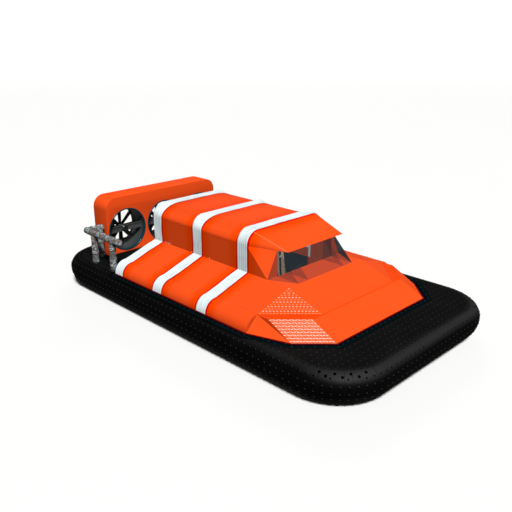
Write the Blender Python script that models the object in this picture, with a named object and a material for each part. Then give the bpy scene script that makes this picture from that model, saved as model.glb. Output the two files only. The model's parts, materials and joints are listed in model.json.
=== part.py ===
"""An eight metre work hovercraft, built from its real pieces.

Units are metres, +Z is up, the bow points to -Y and port is +X.
The origin is on the ground under the middle of the craft.
The hull lines follow frames that are 0.25 m apart, so most places are
written as (across, aft, up) in frames: across from the centreline,
aft from the stem and up from the black deck.
"""
import math

import bmesh
import bpy
from mathutils import Matrix, Vector

# %% Driving dimensions
FRAME = 0.25                # spacing of the hull's frames
GAP = 0.0003                # between pieces that rest on each other
DECK = 0.60                 # height of the black deck above the ground
LENGTH = 8.08               # over the skirt
BEAM = 4.50                 # over the skirt
BOW_APRON = 4 * FRAME       # black deck ahead of the stem
STEM = -LENGTH / 2 + BOW_APRON

SKIRT_CORNER = 1.00         # plan radius of the skirt's corners
SKIRT_TOP_RADIUS = 0.22
SKIRT_SIDE_RADIUS = DECK - SKIRT_TOP_RADIUS
SKIRT_LEDGE = 0.25          # width of the skirt outside the platform
SKIRT_FOOT = 0.50           # from the skirt's side to the inside of its foot
SKIRT_INSIDE = 0.80         # from the skirt's side to its inner edge
CORNER_STEPS = 12

PLATFORM_BASE = 0.25        # underside of the buoyancy platform
WELL_FLOOR = 0.30
WELL_HALF_WIDTH = 0.93

CABIN_SIDE = 4              # frames from the centreline to the cabin wall
BROW_EDGE = 3               # frames from the centreline to the flat top of the brow
PANEL_EDGE = 2              # the same on the roof's panels, whose edges are slacker
ROOF_STEP = 0.04            # length of the step from the one to the other
HULL_SIDE = 8
SHOULDER = 7                # frames to the fold along the side deck
WALL = 0.040                # sandwich panel of the cabin
GLASS = 0.008
COAMING_UP = 2              # frames up to the foot of the cabin wall
EAVES_UP = 4
ROOF_UP = 5
CABIN_AFT = 20
SIDE_DECK_FORE = 5
BROW_AFT = 9
MOUTH_AFT = 7               # frame of the windscreen's top edge
ARC_STEPS = 8

BANDS = {"band_forward": 9, "band_middle": 14, "band_aft": 19}
BAND_PROUD = 0.012
BAND_SEAT = 0.0006          # how far the roof is let in under a band
SEAT_PLAY = 0.0005          # the seat is a little longer than the band
SEAT_RAMP = 0.0025          # where the roof is back at its full height

HOUSING_FORE = 24
HOUSING_AFT = 26
HOUSING_SIDE = 6
HOUSING_CORNER = 1
DUCTS = {"starboard": -4, "centre": 0, "port": 4}
DUCT_UP = 2
DUCT_RADIUS = 0.442
DUCT_OUTSIDE = 0.458
DUCT_LIP = 0.472
LIP_PROUD = 0.008           # of the lip ahead of the housing
DUCT_SIDES = 48

SHAFT = 0.018
SHAFT_BORE = 0.0187
MOTOR_RADIUS = 0.075
BEAM_HEIGHT = 0.13
FAN_BLADES = 8
FAN_RADIUS = 0.425
BLADE_PITCH = 12            # degrees
FAN_HUB = 0.070

RUDDER_AXIS = 0.105         # aft of the housing
RUDDER_NOSE = 0.07
RUDDER_TAIL = 0.28
RUDDER_THICKNESS = 0.036
RUDDER_PIN = 0.012
RUDDER_BORE = 0.0126

DOOR_HALF_WIDTH = 0.33      # of the opening in the bulkhead
DOOR_SILL = 0.66
DOOR_HEAD = 1.68
DOOR_LAP = 0.04
DOOR_HINGE_X = 0.41
DOOR_HINGE_Y = 0.018        # aft of the bulkhead's face
HINGE_HEIGHTS = (0.86, 1.48)

RAIL_TUBE = 0.137           # the weathered pipe rail at the stern


def at(across, aft, up):
    """World place of a point given in frames."""
    return Vector((across * FRAME, STEM + aft * FRAME, DECK + up * FRAME))


# %% Materials
PAINTS = {
    # name: (red, green, blue, roughness, metallic)
    "orange": (1.0, 0.11, 0.02, 0.45, 0.0),
    "rubber": (0.012, 0.012, 0.012, 0.70, 0.0),
    "white": (0.80, 0.84, 0.84, 0.55, 0.0),
    "dark_metal": (0.02, 0.03, 0.035, 0.45, 0.6),
    "black_blade": (0.01, 0.01, 0.012, 0.40, 0.0),
    "grey_metal": (0.35, 0.35, 0.34, 0.55, 0.7),
    "glass": (0.25, 0.30, 0.32, 0.10, 0.0),
    "interior": (0.02, 0.09, 0.09, 0.60, 0.0),
    "upholstery": (0.35, 0.28, 0.20, 0.80, 0.0),
    "iron": (0.10, 0.10, 0.10, 0.60, 0.8),
}


def paint(name):
    red, green, blue, roughness, metallic = PAINTS[name]
    material = bpy.data.materials.new(name)
    material.use_nodes = True
    shader = material.node_tree.nodes["Principled BSDF"]
    shader.inputs["Base Color"].default_value = (red, green, blue, 1.0)
    shader.inputs["Roughness"].default_value = roughness
    shader.inputs["Metallic"].default_value = metallic
    return material


# %% Mesh helpers
def finish(name, bm, material, location=(0, 0, 0), smooth=False):
    """Turn a bmesh in world places into an object with its origin at location."""
    bmesh.ops.recalc_face_normals(bm, faces=bm.faces)
    bmesh.ops.translate(bm, verts=bm.verts, vec=-Vector(location))
    mesh = bpy.data.meshes.new(name)
    bm.to_mesh(mesh)
    bm.free()
    mesh.materials.append(MATERIALS[material])
    thing = bpy.data.objects.new(name, mesh)
    thing.location = location
    bpy.context.scene.collection.objects.link(thing)
    if smooth:
        mesh.shade_smooth()
        mesh.set_sharp_from_angle(angle=math.radians(30))
    return thing


def add_faces(bm, points, faces):
    verts = [bm.verts.new(point) for point in points]
    for face in faces:
        bm.faces.new([verts[index] for index in face])


def add_prism(bm, outline, start, end, plane="xz"):
    """Extrude an outline; plane names its two axes and the third is the run."""
    order = {"xz": (0, 2, 1), "yz": (1, 2, 0), "xy": (0, 1, 2)}[plane]

    def place(a, b, c):
        point = [0.0, 0.0, 0.0]
        for axis, value in zip(order, (a, b, c)):
            point[axis] = value
        return point

    count = len(outline)
    points = [place(a, b, end_) for end_ in (start, end) for a, b in outline]
    faces = [tuple(range(count)), tuple(range(2 * count - 1, count - 1, -1))]
    for index in range(count):
        after = (index + 1) % count
        faces.append((index, index + count, after + count, after))
    add_faces(bm, points, faces)


def add_strip(bm, sections):
    """A plate along Y from sections of (y, outer XZ line, inner XZ line)."""
    count = len(sections[0][1])
    points = [(x, y, z) for y, outer, inner in sections for line in (outer, inner)
              for x, z in line]
    last = 2 * count * (len(sections) - 1)
    faces = []
    for index in range(count - 1):
        ring = (index, index + 1, index + 1 + count, index + count)
        faces.append(ring)
        faces.append(tuple(corner + last for corner in reversed(ring)))
    for start in range(0, last, 2 * count):
        after = start + 2 * count
        for low in (0, count):
            for index in range(low, low + count - 1):
                here, there = index + start, index + after
                faces += [(here, here + 1, there + 1), (here, there + 1, there)]
        for index in (0, count - 1):
            faces.append((index + start, index + count + start,
                          index + count + after, index + after))
    add_faces(bm, points, faces)


def add_box(bm, low, high):
    add_prism(bm, [(low[0], low[1]), (high[0], low[1]),
                   (high[0], high[1]), (low[0], high[1])], low[2], high[2], "xy")


def add_rod(bm, start, end, radius, sides=24):
    """A closed cylinder between two points."""
    start, end = Vector(start), Vector(end)
    turn = (end - start).to_track_quat("Z", "Y").to_matrix().to_4x4()
    matrix = Matrix.Translation((start + end) / 2) @ turn
    bmesh.ops.create_cone(bm, cap_ends=True, segments=sides, radius1=radius,
                          radius2=radius, depth=(end - start).length, matrix=matrix)


def clip(bm, point, normal):
    """Cut away what lies on the side that normal points to, and close the cut."""
    geometry = bm.verts[:] + bm.edges[:] + bm.faces[:]
    cut = bmesh.ops.bisect_plane(bm, geom=geometry, plane_co=point, plane_no=normal,
                                 clear_outer=True, dist=1e-6)
    edges = [item for item in cut["geom_cut"] if isinstance(item, bmesh.types.BMEdge)]
    if edges:
        bmesh.ops.edgeloop_fill(bm, edges=edges)


def combine(thing, other, operation):
    """Join or cut thing with the mesh of another object, which is then removed."""
    modifier = thing.modifiers.new("combine", "BOOLEAN")
    modifier.operation = operation
    modifier.object = other
    modifier.solver = "EXACT"
    graph = bpy.context.evaluated_depsgraph_get()
    mesh = bpy.data.meshes.new_from_object(thing.evaluated_get(graph))
    thing.modifiers.clear()
    thing.data = mesh
    bpy.data.objects.remove(other)


def helper(bm):
    """A passing object that is joined to, or cut out of, a real one."""
    return finish("helper", bm, "white")


def arc(centre, radius, start, end, steps):
    """Points of an arc in degrees, both ends included."""
    points = []
    for index in range(steps + 1):
        angle = math.radians(start + (end - start) * index / steps)
        points.append((centre[0] + radius * math.cos(angle),
                       centre[1] + radius * math.sin(angle)))
    return points


def rounded_rectangle(half_x, half_y, radius, steps):
    corners = (((half_x - radius), (half_y - radius), 0),
               (-(half_x - radius), (half_y - radius), 90),
               (-(half_x - radius), -(half_y - radius), 180),
               ((half_x - radius), -(half_y - radius), 270))
    points = []
    for x, y, start in corners:
        points += arc((x, y), radius, start, start + 90, steps)
    return points


def mirrored(line):
    """Complete a half line that starts at the port side and ends near the middle."""
    return line + [(-x, z) for x, z in reversed(line)]


# %% Skirt
def skirt_section():
    """(inward from the side, height) round the bag, from the platform's top edge."""
    top, side = SKIRT_TOP_RADIUS, SKIRT_SIDE_RADIUS
    points = [(SKIRT_LEDGE - GAP, DECK)]
    points += arc((top, DECK - top), top, 90, 180, 6)
    points += arc((side, side), side, 180, 270, 8)[1:]
    rise = SKIRT_INSIDE - SKIRT_FOOT
    for index in range(7):
        angle = math.radians(90 * index / 6)
        points.append((SKIRT_FOOT + rise * math.sin(angle),
                       (PLATFORM_BASE - GAP) * (1 - math.cos(angle))))
    points.append((SKIRT_LEDGE - GAP, PLATFORM_BASE - GAP))
    return points


def sweep_skirt(name, stations):
    """Sweep the bag's section; a station is (edge point, inward direction)."""
    section = skirt_section()
    count = len(section)
    points = []
    for edge, inward in stations:
        for depth, height in section:
            points.append((edge[0] + inward[0] * depth, edge[1] + inward[1] * depth, height))
    last = (len(stations) - 1) * count
    faces = [tuple(range(count)), tuple(range(last + count - 1, last - 1, -1))]
    for row in range(len(stations) - 1):
        for index in range(count):
            after = (index + 1) % count
            low = row * count
            faces.append((low + index, low + count + index, low + count + after, low + after))
    bm = bmesh.new()
    add_faces(bm, points, faces)
    finish(name, bm, "rubber", smooth=True)


def corner_stations(sign_x, sign_y):
    """Stations round one corner, from the side of the craft to its end."""
    centre = (sign_x * (BEAM / 2 - SKIRT_CORNER), sign_y * (LENGTH / 2 - SKIRT_CORNER))
    stations = []
    for index in range(CORNER_STEPS + 1):
        angle = math.radians(90 * index / CORNER_STEPS)
        out = (sign_x * math.cos(angle), sign_y * math.sin(angle))
        edge = (centre[0] + out[0] * SKIRT_CORNER, centre[1] + out[1] * SKIRT_CORNER)
        stations.append((edge, (-out[0], -out[1])))
    return stations


def build_skirt():
    for name, sign_y in (("skirt_front", -1), ("skirt_rear", 1)):
        around = corner_stations(1, sign_y) + corner_stations(-1, sign_y)[::-1]
        sweep_skirt(name, around)
    reach = LENGTH / 2 - SKIRT_CORNER - GAP
    for name, sign_x in (("skirt_port", 1), ("skirt_starboard", -1)):
        ends = [((sign_x * BEAM / 2, y), (-sign_x, 0)) for y in (-reach, reach)]
        sweep_skirt(name, ends)


# %% Platform and skids
def build_platform():
    outline = rounded_rectangle(BEAM / 2 - SKIRT_LEDGE, LENGTH / 2 - SKIRT_LEDGE,
                                SKIRT_CORNER - SKIRT_LEDGE, CORNER_STEPS)
    bm = bmesh.new()
    add_prism(bm, outline, PLATFORM_BASE, DECK, "xy")
    platform = finish("platform", bm, "rubber")
    well = bmesh.new()
    fore = at(0, SIDE_DECK_FORE + 0.2, 0).y
    aft = at(0, CABIN_AFT - 0.5, 0).y
    add_box(well, (-WELL_HALF_WIDTH, fore, WELL_FLOOR), (WELL_HALF_WIDTH, aft, DECK + 0.1))
    combine(platform, helper(well), "DIFFERENCE")


def build_skids():
    half_length, ramp, half_width, offset = 2.60, 0.30, 0.07, 1.00
    top = PLATFORM_BASE - GAP
    outline = [(-half_length + ramp, 0), (half_length - ramp, 0), (half_length, 0.12),
               (half_length, top), (-half_length, top), (-half_length, 0.12)]
    for name, x in (("landing_skid_port", offset), ("landing_skid_starboard", -offset)):
        bm = bmesh.new()
        add_prism(bm, outline, x - half_width, x + half_width, "yz")
        finish(name, bm, "dark_metal")


# %% Bow and side decks
def build_bow():
    """Facetted foredeck: hood, front slope and two chamfered corners."""
    half = {
        "stem": (5, 0, 0), "chine": (7, 2, 0), "side": (8, 5, 0),
        "slope": (5, 2, 1), "hood": (4, 2, 1), "knee": (7, 4, 1),
        "shoulder": (7, 5, 1), "coaming": (4, 5, 2),
    }
    names = list(half)
    points = []
    for side in (1, -1):
        for across, aft, up in half.values():
            point = at(side * across, aft, up)
            point.z += GAP if up == 0 else 0
            points.append(point)

    def corners(side, *wanted):
        offset = 0 if side == 1 else len(names)
        return [names.index(name) + offset for name in wanted]

    faces = []
    for side in (1, -1):
        faces.append(corners(side, "coaming", "shoulder", "hood"))
        faces.append(corners(side, "shoulder", "knee", "slope", "hood"))
        faces.append(corners(side, "knee", "chine", "stem", "slope"))
        faces.append(corners(side, "shoulder", "chine", "knee"))
        faces.append(corners(side, "shoulder", "side", "chine"))
    across = (("stem", "slope", "hood"), ("hood", "coaming"),
              ("side", "shoulder", "coaming"), ("stem", "chine", "side"))
    for line in across:
        faces.append(corners(1, *line) + corners(-1, *line)[::-1])
    bm = bmesh.new()
    add_faces(bm, points, faces)
    finish("bow_deck", bm, "orange")


def side_deck_line():
    """The side deck's surface from its outer edge to the cabin wall, in frames."""
    line = arc((SHOULDER, 0), HULL_SIDE - SHOULDER, 0, 90, ARC_STEPS)
    return line + [(CABIN_SIDE, COAMING_UP)]


def build_side_decks():
    start = at(0, SIDE_DECK_FORE, 0).y + GAP
    end = at(0, CABIN_AFT, 0).y
    for name, side in (("side_deck_port", 1), ("side_deck_starboard", -1)):
        outline = []
        for across, up in side_deck_line() + [(CABIN_SIDE, 0)]:
            x = across * FRAME + (GAP if across == CABIN_SIDE else 0)
            z = DECK + up * FRAME + (GAP if abs(up) < 1e-6 else 0)
            outline.append((side * x, z))
        bm = bmesh.new()
        add_prism(bm, outline, start, end)
        finish(name, bm, "orange", smooth=True)


# %% Cabin
def build_walls():
    outline = [at(0, SIDE_DECK_FORE, 0), at(0, CABIN_AFT, 0), at(0, CABIN_AFT, EAVES_UP),
               at(0, BROW_AFT, EAVES_UP), at(0, MOUTH_AFT, COAMING_UP),
               at(0, SIDE_DECK_FORE, COAMING_UP)]
    outline = [(point.y, point.z) for point in outline]
    outline[0] = (outline[0][0] + GAP, outline[0][1] + GAP)
    outline[1] = (outline[1][0], outline[1][1] + GAP)
    outline[5] = (outline[5][0] + GAP, outline[5][1])
    outside = CABIN_SIDE * FRAME
    for name, side in (("cabin_wall_port", 1), ("cabin_wall_starboard", -1)):
        bm = bmesh.new()
        add_prism(bm, outline, side * (outside - WALL), side * outside, "yz")
        finish(name, bm, "orange")


def arch(inset, edge):
    """The cabin's top line across the craft, moved in by inset, with a quarter ellipse
    from the eaves to the flat top that begins edge frames from the centreline."""
    middle, eaves = edge * FRAME, DECK + EAVES_UP * FRAME
    across = (CABIN_SIDE - edge) * FRAME - inset
    up = (ROOF_UP - EAVES_UP) * FRAME - inset
    return mirrored([(middle + across * x, eaves + up * z)
                     for x, z in arc((0, 0), 1, 0, 90, ARC_STEPS)])


def band_seat(name):
    """Which edge the roof has under a band: the first one lies behind the brow."""
    return BROW_EDGE if BANDS[name] == BROW_AFT else PANEL_EDGE


def build_roof():
    """One shell from eaves to eaves, let in under the bands where its panels meet."""
    sections = []

    def section(aft, shift, edge, let_in=0.0):
        outer = [(x, z + GAP) for x, z in arch(let_in, edge)]
        inner = [(x, z + GAP) for x, z in arch(WALL, edge)]
        sections.append((at(0, aft, 0).y + shift, outer, inner))

    for name, fore in BANDS.items():
        edge = band_seat(name)
        if fore > BROW_AFT:
            section(fore, -SEAT_RAMP, edge)
        section(fore, 0 if fore == BROW_AFT else -SEAT_PLAY, edge, BAND_SEAT)
        aft = fore + 1
        section(aft, 0 if aft == CABIN_AFT else SEAT_PLAY, edge, BAND_SEAT)
        if aft < CABIN_AFT:
            section(aft, SEAT_RAMP, edge)
        if edge != PANEL_EDGE:
            section(aft, SEAT_RAMP + ROOF_STEP, PANEL_EDGE)
    bm = bmesh.new()
    add_strip(bm, sections)
    finish("cabin_roof", bm, "orange", smooth=True)


def build_visor():
    """The brow over the windscreen: a wedge that runs from the roof to a sharp lip."""
    back_y = at(0, BROW_AFT, 0).y - GAP
    back = [Vector((x, back_y, z + GAP)) for x, z in arch(0, BROW_EDGE)]
    tips = [at(side * BROW_EDGE, 6, EAVES_UP) for side in (1, -1)]
    for tip in tips:
        tip.z += GAP
    count = len(back)
    port_tip, starboard_tip = count, count + 1
    middle = count // 2
    faces = [tuple(range(count)), (0, port_tip, starboard_tip, count - 1),
             (middle - 1, middle, starboard_tip, port_tip)]
    for index in range(middle - 1):
        faces.append((index, index + 1, port_tip))
        faces.append((middle + index, middle + index + 1, starboard_tip))
    bm = bmesh.new()
    add_faces(bm, back + tips, faces)
    finish("visor", bm, "orange", smooth=True)


def build_pillars():
    """Wedge pillars whose outer face is the triangle behind the windscreen."""
    forward = Vector((0, -0.0006, 0))
    for name, side in (("pillar_port", 1), ("pillar_starboard", -1)):
        corners = [at(side * 4, 9, 4), at(side * 3, 7, 4), at(side * 4, 7, 2),
                   at(side * 3, 7, 2)]
        for corner, lift in zip(corners, (0, 0, GAP, GAP)):
            corner += forward
            corner.z += lift
        bm = bmesh.new()
        add_faces(bm, corners, [(0, 1, 2), (1, 3, 2), (0, 3, 1), (0, 2, 3)])
        finish(name, bm, "orange")


def build_dash():
    inside = CABIN_SIDE * FRAME - WALL - GAP
    low = at(0, SIDE_DECK_FORE, COAMING_UP)
    high = at(0, MOUTH_AFT, COAMING_UP)
    bm = bmesh.new()
    add_box(bm, (-inside, low.y + GAP, low.z - WALL), (inside, high.y, high.z))
    finish("dash_shelf", bm, "orange")


def build_bulkhead():
    face = at(0, CABIN_AFT, 0).y
    line = arch(WALL + GAP, PANEL_EDGE)
    foot = DECK + GAP
    outline = [(line[0][0], foot)] + line + [(line[-1][0], foot)]
    bm = bmesh.new()
    add_prism(bm, outline, face - WALL, face)
    bulkhead = finish("rear_bulkhead", bm, "orange")
    opening = bmesh.new()
    add_box(opening, (-DOOR_HALF_WIDTH, face - 0.1, DOOR_SILL),
            (DOOR_HALF_WIDTH, face + 0.1, DOOR_HEAD))
    combine(bulkhead, helper(opening), "DIFFERENCE")
    hinge_y = face + DOOR_HINGE_Y
    for height in HINGE_HEIGHTS:
        pin = bmesh.new()
        add_rod(pin, (DOOR_HINGE_X, hinge_y, height - 0.070),
                (DOOR_HINGE_X, hinge_y, height + 0.070), 0.006)
        combine(bulkhead, helper(pin), "UNION")
        for low in (height - 0.065, height + 0.032):
            lug = bmesh.new()
            add_box(lug, (DOOR_HINGE_X - 0.011, face - 0.010, low),
                    (DOOR_HINGE_X + 0.011, hinge_y + 0.011, low + 0.033))
            combine(bulkhead, helper(lug), "UNION")


def build_door():
    face = at(0, CABIN_AFT, 0).y
    hinge = Vector((DOOR_HINGE_X, face + DOOR_HINGE_Y, 0))
    near, far = face + 0.006, face + 0.040
    left, right = -DOOR_HALF_WIDTH - DOOR_LAP, DOOR_HALF_WIDTH + DOOR_LAP
    bm = bmesh.new()
    add_box(bm, (left, near, DOOR_SILL - 0.03), (right, far, DOOR_HEAD + 0.03))
    door = finish("rear_door", bm, "orange", location=hinge)
    half, low, high = 0.20, 1.22, 1.56
    window = bmesh.new()
    add_box(window, (-half, near - 0.1, low), (half, far + 0.1, high))
    combine(door, helper(window), "DIFFERENCE")
    for height in HINGE_HEIGHTS:
        tab = bmesh.new()
        add_box(tab, (right - 0.010, near + 0.004, height - 0.031),
                (DOOR_HINGE_X, near + 0.020, height + 0.031))
        combine(door, helper(tab), "UNION")
        barrel = bmesh.new()
        add_rod(barrel, hinge + Vector((0, 0, height - 0.031)),
                hinge + Vector((0, 0, height + 0.031)), 0.0115)
        combine(door, helper(barrel), "UNION")
        bore = bmesh.new()
        add_rod(bore, hinge + Vector((0, 0, height - 0.05)),
                hinge + Vector((0, 0, height + 0.05)), 0.0066)
        combine(door, helper(bore), "DIFFERENCE")
    bm = bmesh.new()
    middle = (near + far) / 2
    add_box(bm, (-half + GAP, middle - 0.004, low + GAP), (half - GAP, middle + 0.004, high - GAP))
    finish("door_window", bm, "glass", location=hinge)


# %% Windscreen
def slanted_pane(low_x, high_x):
    """A pane in the 45 degree plane of the windscreen, between two offsets."""
    foot, head = at(0, 5, 2), at(0, 7, 4)
    depth = GLASS * math.sqrt(2)
    outline = [(foot.y, foot.z), (foot.y + depth, foot.z), (head.y + depth, head.z),
               (head.y, head.z)]
    bm = bmesh.new()
    add_prism(bm, outline, low_x, high_x, "yz")
    return bm


def web(low_x, high_x):
    """The upright triangular pane behind the slanted one."""
    foot, heel, head = at(0, 5, 2), at(0, 7, 2), at(0, 7, 4)
    inset = GLASS / 2
    outline = [(foot.y + inset, foot.z), (heel.y, heel.z), (head.y, head.z - inset)]
    bm = bmesh.new()
    add_prism(bm, outline, low_x, high_x, "yz")
    return bm


def trim_to_mouth(bm):
    """Keep glass clear of the shelf, the visor's soffit and the pillars."""
    clip(bm, at(0, 0, COAMING_UP) + Vector((0, 0, GAP)), (0, 0, -1))
    clip(bm, at(0, 0, EAVES_UP) - Vector((0, 0, GAP)), (0, 0, 1))
    clip(bm, at(0, MOUTH_AFT, 0) - Vector((0, 0.001, 0)), (0, 1, 0))


def build_glass():
    inner, outer = 2 * FRAME, 3 * FRAME
    panes = (
        ("windscreen_centre", -inner, inner, (-inner, inner - GLASS)),
        ("windscreen_port", inner + GAP, outer, (outer - GLASS,)),
        ("windscreen_starboard", -outer, -inner - GAP, (-outer,)),
    )
    for name, low, high, webs in panes:
        pane = slanted_pane(low, high)
        trim_to_mouth(pane)
        thing = finish(name, pane, "glass")
        for low_x in webs:
            piece = web(low_x, low_x + GLASS)
            trim_to_mouth(piece)
            combine(thing, helper(piece), "UNION")
    for name, side in (("corner_pane_port", 1), ("corner_pane_starboard", -1)):
        triangle = [at(side * 4, 7, 2), at(side * 3, 5, 2), at(side * 3, 7, 4)]
        inward = (triangle[1] - triangle[0]).cross(triangle[2] - triangle[0]).normalized()
        if inward.x * side > 0:
            inward.negate()
        points = triangle + [corner + inward * GLASS for corner in triangle]
        bm = bmesh.new()
        add_faces(bm, points, [(0, 1, 2), (3, 5, 4), (0, 3, 4, 1), (1, 4, 5, 2), (2, 5, 3, 0)])
        clip(bm, (side * (outer + GAP), 0, 0), (-side, 0, 0))
        trim_to_mouth(bm)
        finish(name, bm, "glass")


# %% White bands over the joints
def offset_line(line, distance):
    """Move an open XZ line to its outer side, with mitred corners."""
    moved = []
    for index, point in enumerate(line):
        before = Vector(line[max(index - 1, 0)])
        here = Vector(point)
        after = Vector(line[min(index + 1, len(line) - 1)])
        sides = []
        for start, end in ((before, here), (here, after)):
            run = end - start
            if run.length > 1e-9:
                sides.append(Vector((run.y, -run.x)).normalized())
        mitre = sum(sides, Vector((0, 0))).normalized()
        moved.append(here + mitre * distance / mitre.dot(sides[0]))
    return [(point.x, point.y) for point in moved]


def girth(edge, distance):
    """The hull's outline from deck edge to deck edge, moved out by distance."""
    deck = [(x * FRAME, DECK + z * FRAME) for x, z in side_deck_line()]
    line = offset_line(mirrored(deck + arch(0, edge)[:ARC_STEPS + 1]), distance)
    for index in (0, -1):
        line[index] = (line[index][0], DECK + GAP)
    return line


def build_bands():
    """Each band is flush at its fore edge; aft it stands up to the brow's fuller arch."""
    for name, fore in BANDS.items():
        edge = band_seat(name)
        under = girth(edge, 2 * GAP)
        bm = bmesh.new()
        add_strip(bm, [(at(0, fore, 0).y, girth(edge, BAND_PROUD), under),
                       (at(0, fore + 1, 0).y, girth(BROW_EDGE, BAND_PROUD), under)])
        finish(name, bm, "white", smooth=True)


# %% Fan housing, ducts and fans
def duct_centre(across, aft=HOUSING_FORE):
    return at(across, aft, DUCT_UP)


def build_housing():
    side, top = HOUSING_SIDE * FRAME, DECK + ROOF_UP * FRAME
    radius = HOUSING_CORNER * FRAME
    half = [(side, DECK + GAP)] + arc((side - radius, top - radius), radius, 0, 90, ARC_STEPS)
    bm = bmesh.new()
    start, end = at(0, HOUSING_FORE, 0).y, at(0, HOUSING_AFT, 0).y
    add_prism(bm, mirrored(half), start, end)
    housing = finish("fan_housing", bm, "orange", smooth=True)
    for across in DUCTS.values():
        centre = duct_centre(across)
        hole = bmesh.new()
        add_rod(hole, (centre.x, start - 0.1, centre.z), (centre.x, end + 0.1, centre.z),
                DUCT_OUTSIDE + GAP, DUCT_SIDES)
        combine(housing, helper(hole), "DIFFERENCE")


def duct_profile():
    """(radius, distance aft of the housing's face) round the duct's wall."""
    depth = (HOUSING_AFT - HOUSING_FORE) * FRAME
    return [(DUCT_RADIUS, depth), (DUCT_OUTSIDE, depth), (DUCT_OUTSIDE, -GAP),
            (DUCT_LIP, -GAP), (DUCT_LIP, -LIP_PROUD / 2), (DUCT_LIP - 0.004, -LIP_PROUD),
            (DUCT_RADIUS + 0.010, -LIP_PROUD), (DUCT_RADIUS, 0.004)]


def build_duct(name, across):
    """A duct wall with the beam that carries the fan's motor in its mouth."""
    centre = duct_centre(across)
    profile = duct_profile()
    count = len(profile)
    points = []
    for step in range(DUCT_SIDES):
        angle = 2 * math.pi * step / DUCT_SIDES
        for radius, back in profile:
            points.append((centre.x + radius * math.cos(angle), centre.y + back,
                           centre.z + radius * math.sin(angle)))
    faces = []
    for step in range(DUCT_SIDES):
        low, high = step * count, (step + 1) % DUCT_SIDES * count
        for index in range(count):
            after = (index + 1) % count
            faces.append((low + index, high + index, high + after, low + after))
    bm = bmesh.new()
    add_faces(bm, points, faces)
    duct = finish("duct_" + name, bm, "dark_metal", smooth=True)
    half = DUCT_RADIUS + 0.006
    beam = bmesh.new()
    add_box(beam, (centre.x - half, centre.y + 0.12, centre.z - BEAM_HEIGHT / 2),
            (centre.x + half, centre.y + 0.17, centre.z + BEAM_HEIGHT / 2))
    combine(duct, helper(beam), "UNION")
    for radius, start, end, sides in ((MOTOR_RADIUS, 0.085, 0.235, 32),
                                      (SHAFT, 0.20, 0.33, 32)):
        rod = bmesh.new()
        add_rod(rod, centre + Vector((0, start, 0)), centre + Vector((0, end, 0)), radius, sides)
        combine(duct, helper(rod), "UNION")


def build_fan(name, across):
    """Eight flat blades set in a hub that turns on the motor's shaft."""
    centre = duct_centre(across)
    middle = centre + Vector((0, 0.30, 0))
    bm = bmesh.new()
    add_rod(bm, middle - Vector((0, 0.055, 0)), middle + Vector((0, 0.055, 0)), FAN_HUB, 32)
    fan = finish("fan_" + name, bm, "black_blade", location=middle, smooth=True)
    pitch = Matrix.Rotation(math.radians(BLADE_PITCH), 4, "X")
    for blade in range(FAN_BLADES):
        bm = bmesh.new()
        add_box(bm, (FAN_HUB - 0.015, -0.0045, -0.042), (FAN_RADIUS, 0.0045, 0.042))
        turn = Matrix.Rotation(2 * math.pi * blade / FAN_BLADES, 4, "Y")
        bmesh.ops.transform(bm, matrix=Matrix.Translation(middle) @ turn @ pitch,
                            verts=bm.verts)
        combine(fan, helper(bm), "UNION")
    bore = bmesh.new()
    add_rod(bore, middle - Vector((0, 0.1, 0)), middle + Vector((0, 0.035, 0)), SHAFT_BORE, 32)
    combine(fan, helper(bore), "DIFFERENCE")


# %% Rudders
def rudder_place(across):
    return at(across, HOUSING_AFT, 0) + Vector((0, RUDDER_AXIS, 0))


def build_rails():
    """The two bars behind the housing that carry the rudders' pins."""
    aft = at(0, HOUSING_AFT, 0).y
    half, reach = 1.30, 0.15
    for name, low, high, bore_from, bore_to in (
            ("rudder_rail_lower", DECK + GAP, DECK + 0.060, DECK + 0.025, DECK + 0.1),
            ("rudder_rail_upper", DECK + 1.100, DECK + 1.150, DECK + 1.0, DECK + 1.130)):
        bm = bmesh.new()
        add_box(bm, (-half, aft + GAP, low), (half, aft + reach, high))
        rail = finish(name, bm, "dark_metal")
        for across in DUCTS.values():
            place = rudder_place(across)
            bore = bmesh.new()
            add_rod(bore, (place.x, place.y, bore_from), (place.x, place.y, bore_to),
                    RUDDER_BORE)
            combine(rail, helper(bore), "DIFFERENCE")


def build_rudder(name, across):
    place = rudder_place(across)
    half = RUDDER_THICKNESS / 2
    port_side = [(0.30 * half, -RUDDER_NOSE), (0.75 * half, -0.8 * RUDDER_NOSE),
                 (half, -0.2 * RUDDER_NOSE), (0.9 * half, 0.25 * RUDDER_TAIL),
                 (0.15 * half, RUDDER_TAIL)]
    outline = port_side + [(-x, y) for x, y in reversed(port_side)]
    outline = [(place.x + x, place.y + y) for x, y in outline]
    bm = bmesh.new()
    add_prism(bm, outline, DECK + 0.085, DECK + 1.075, "xy")
    rudder = finish("rudder_" + name, bm, "dark_metal", location=place)
    for low, high in ((0.030, 0.12), (1.04, 1.125)):
        pin = bmesh.new()
        add_rod(pin, (place.x, place.y, DECK + low), (place.x, place.y, DECK + high), RUDDER_PIN)
        combine(rudder, helper(pin), "UNION")


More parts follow.
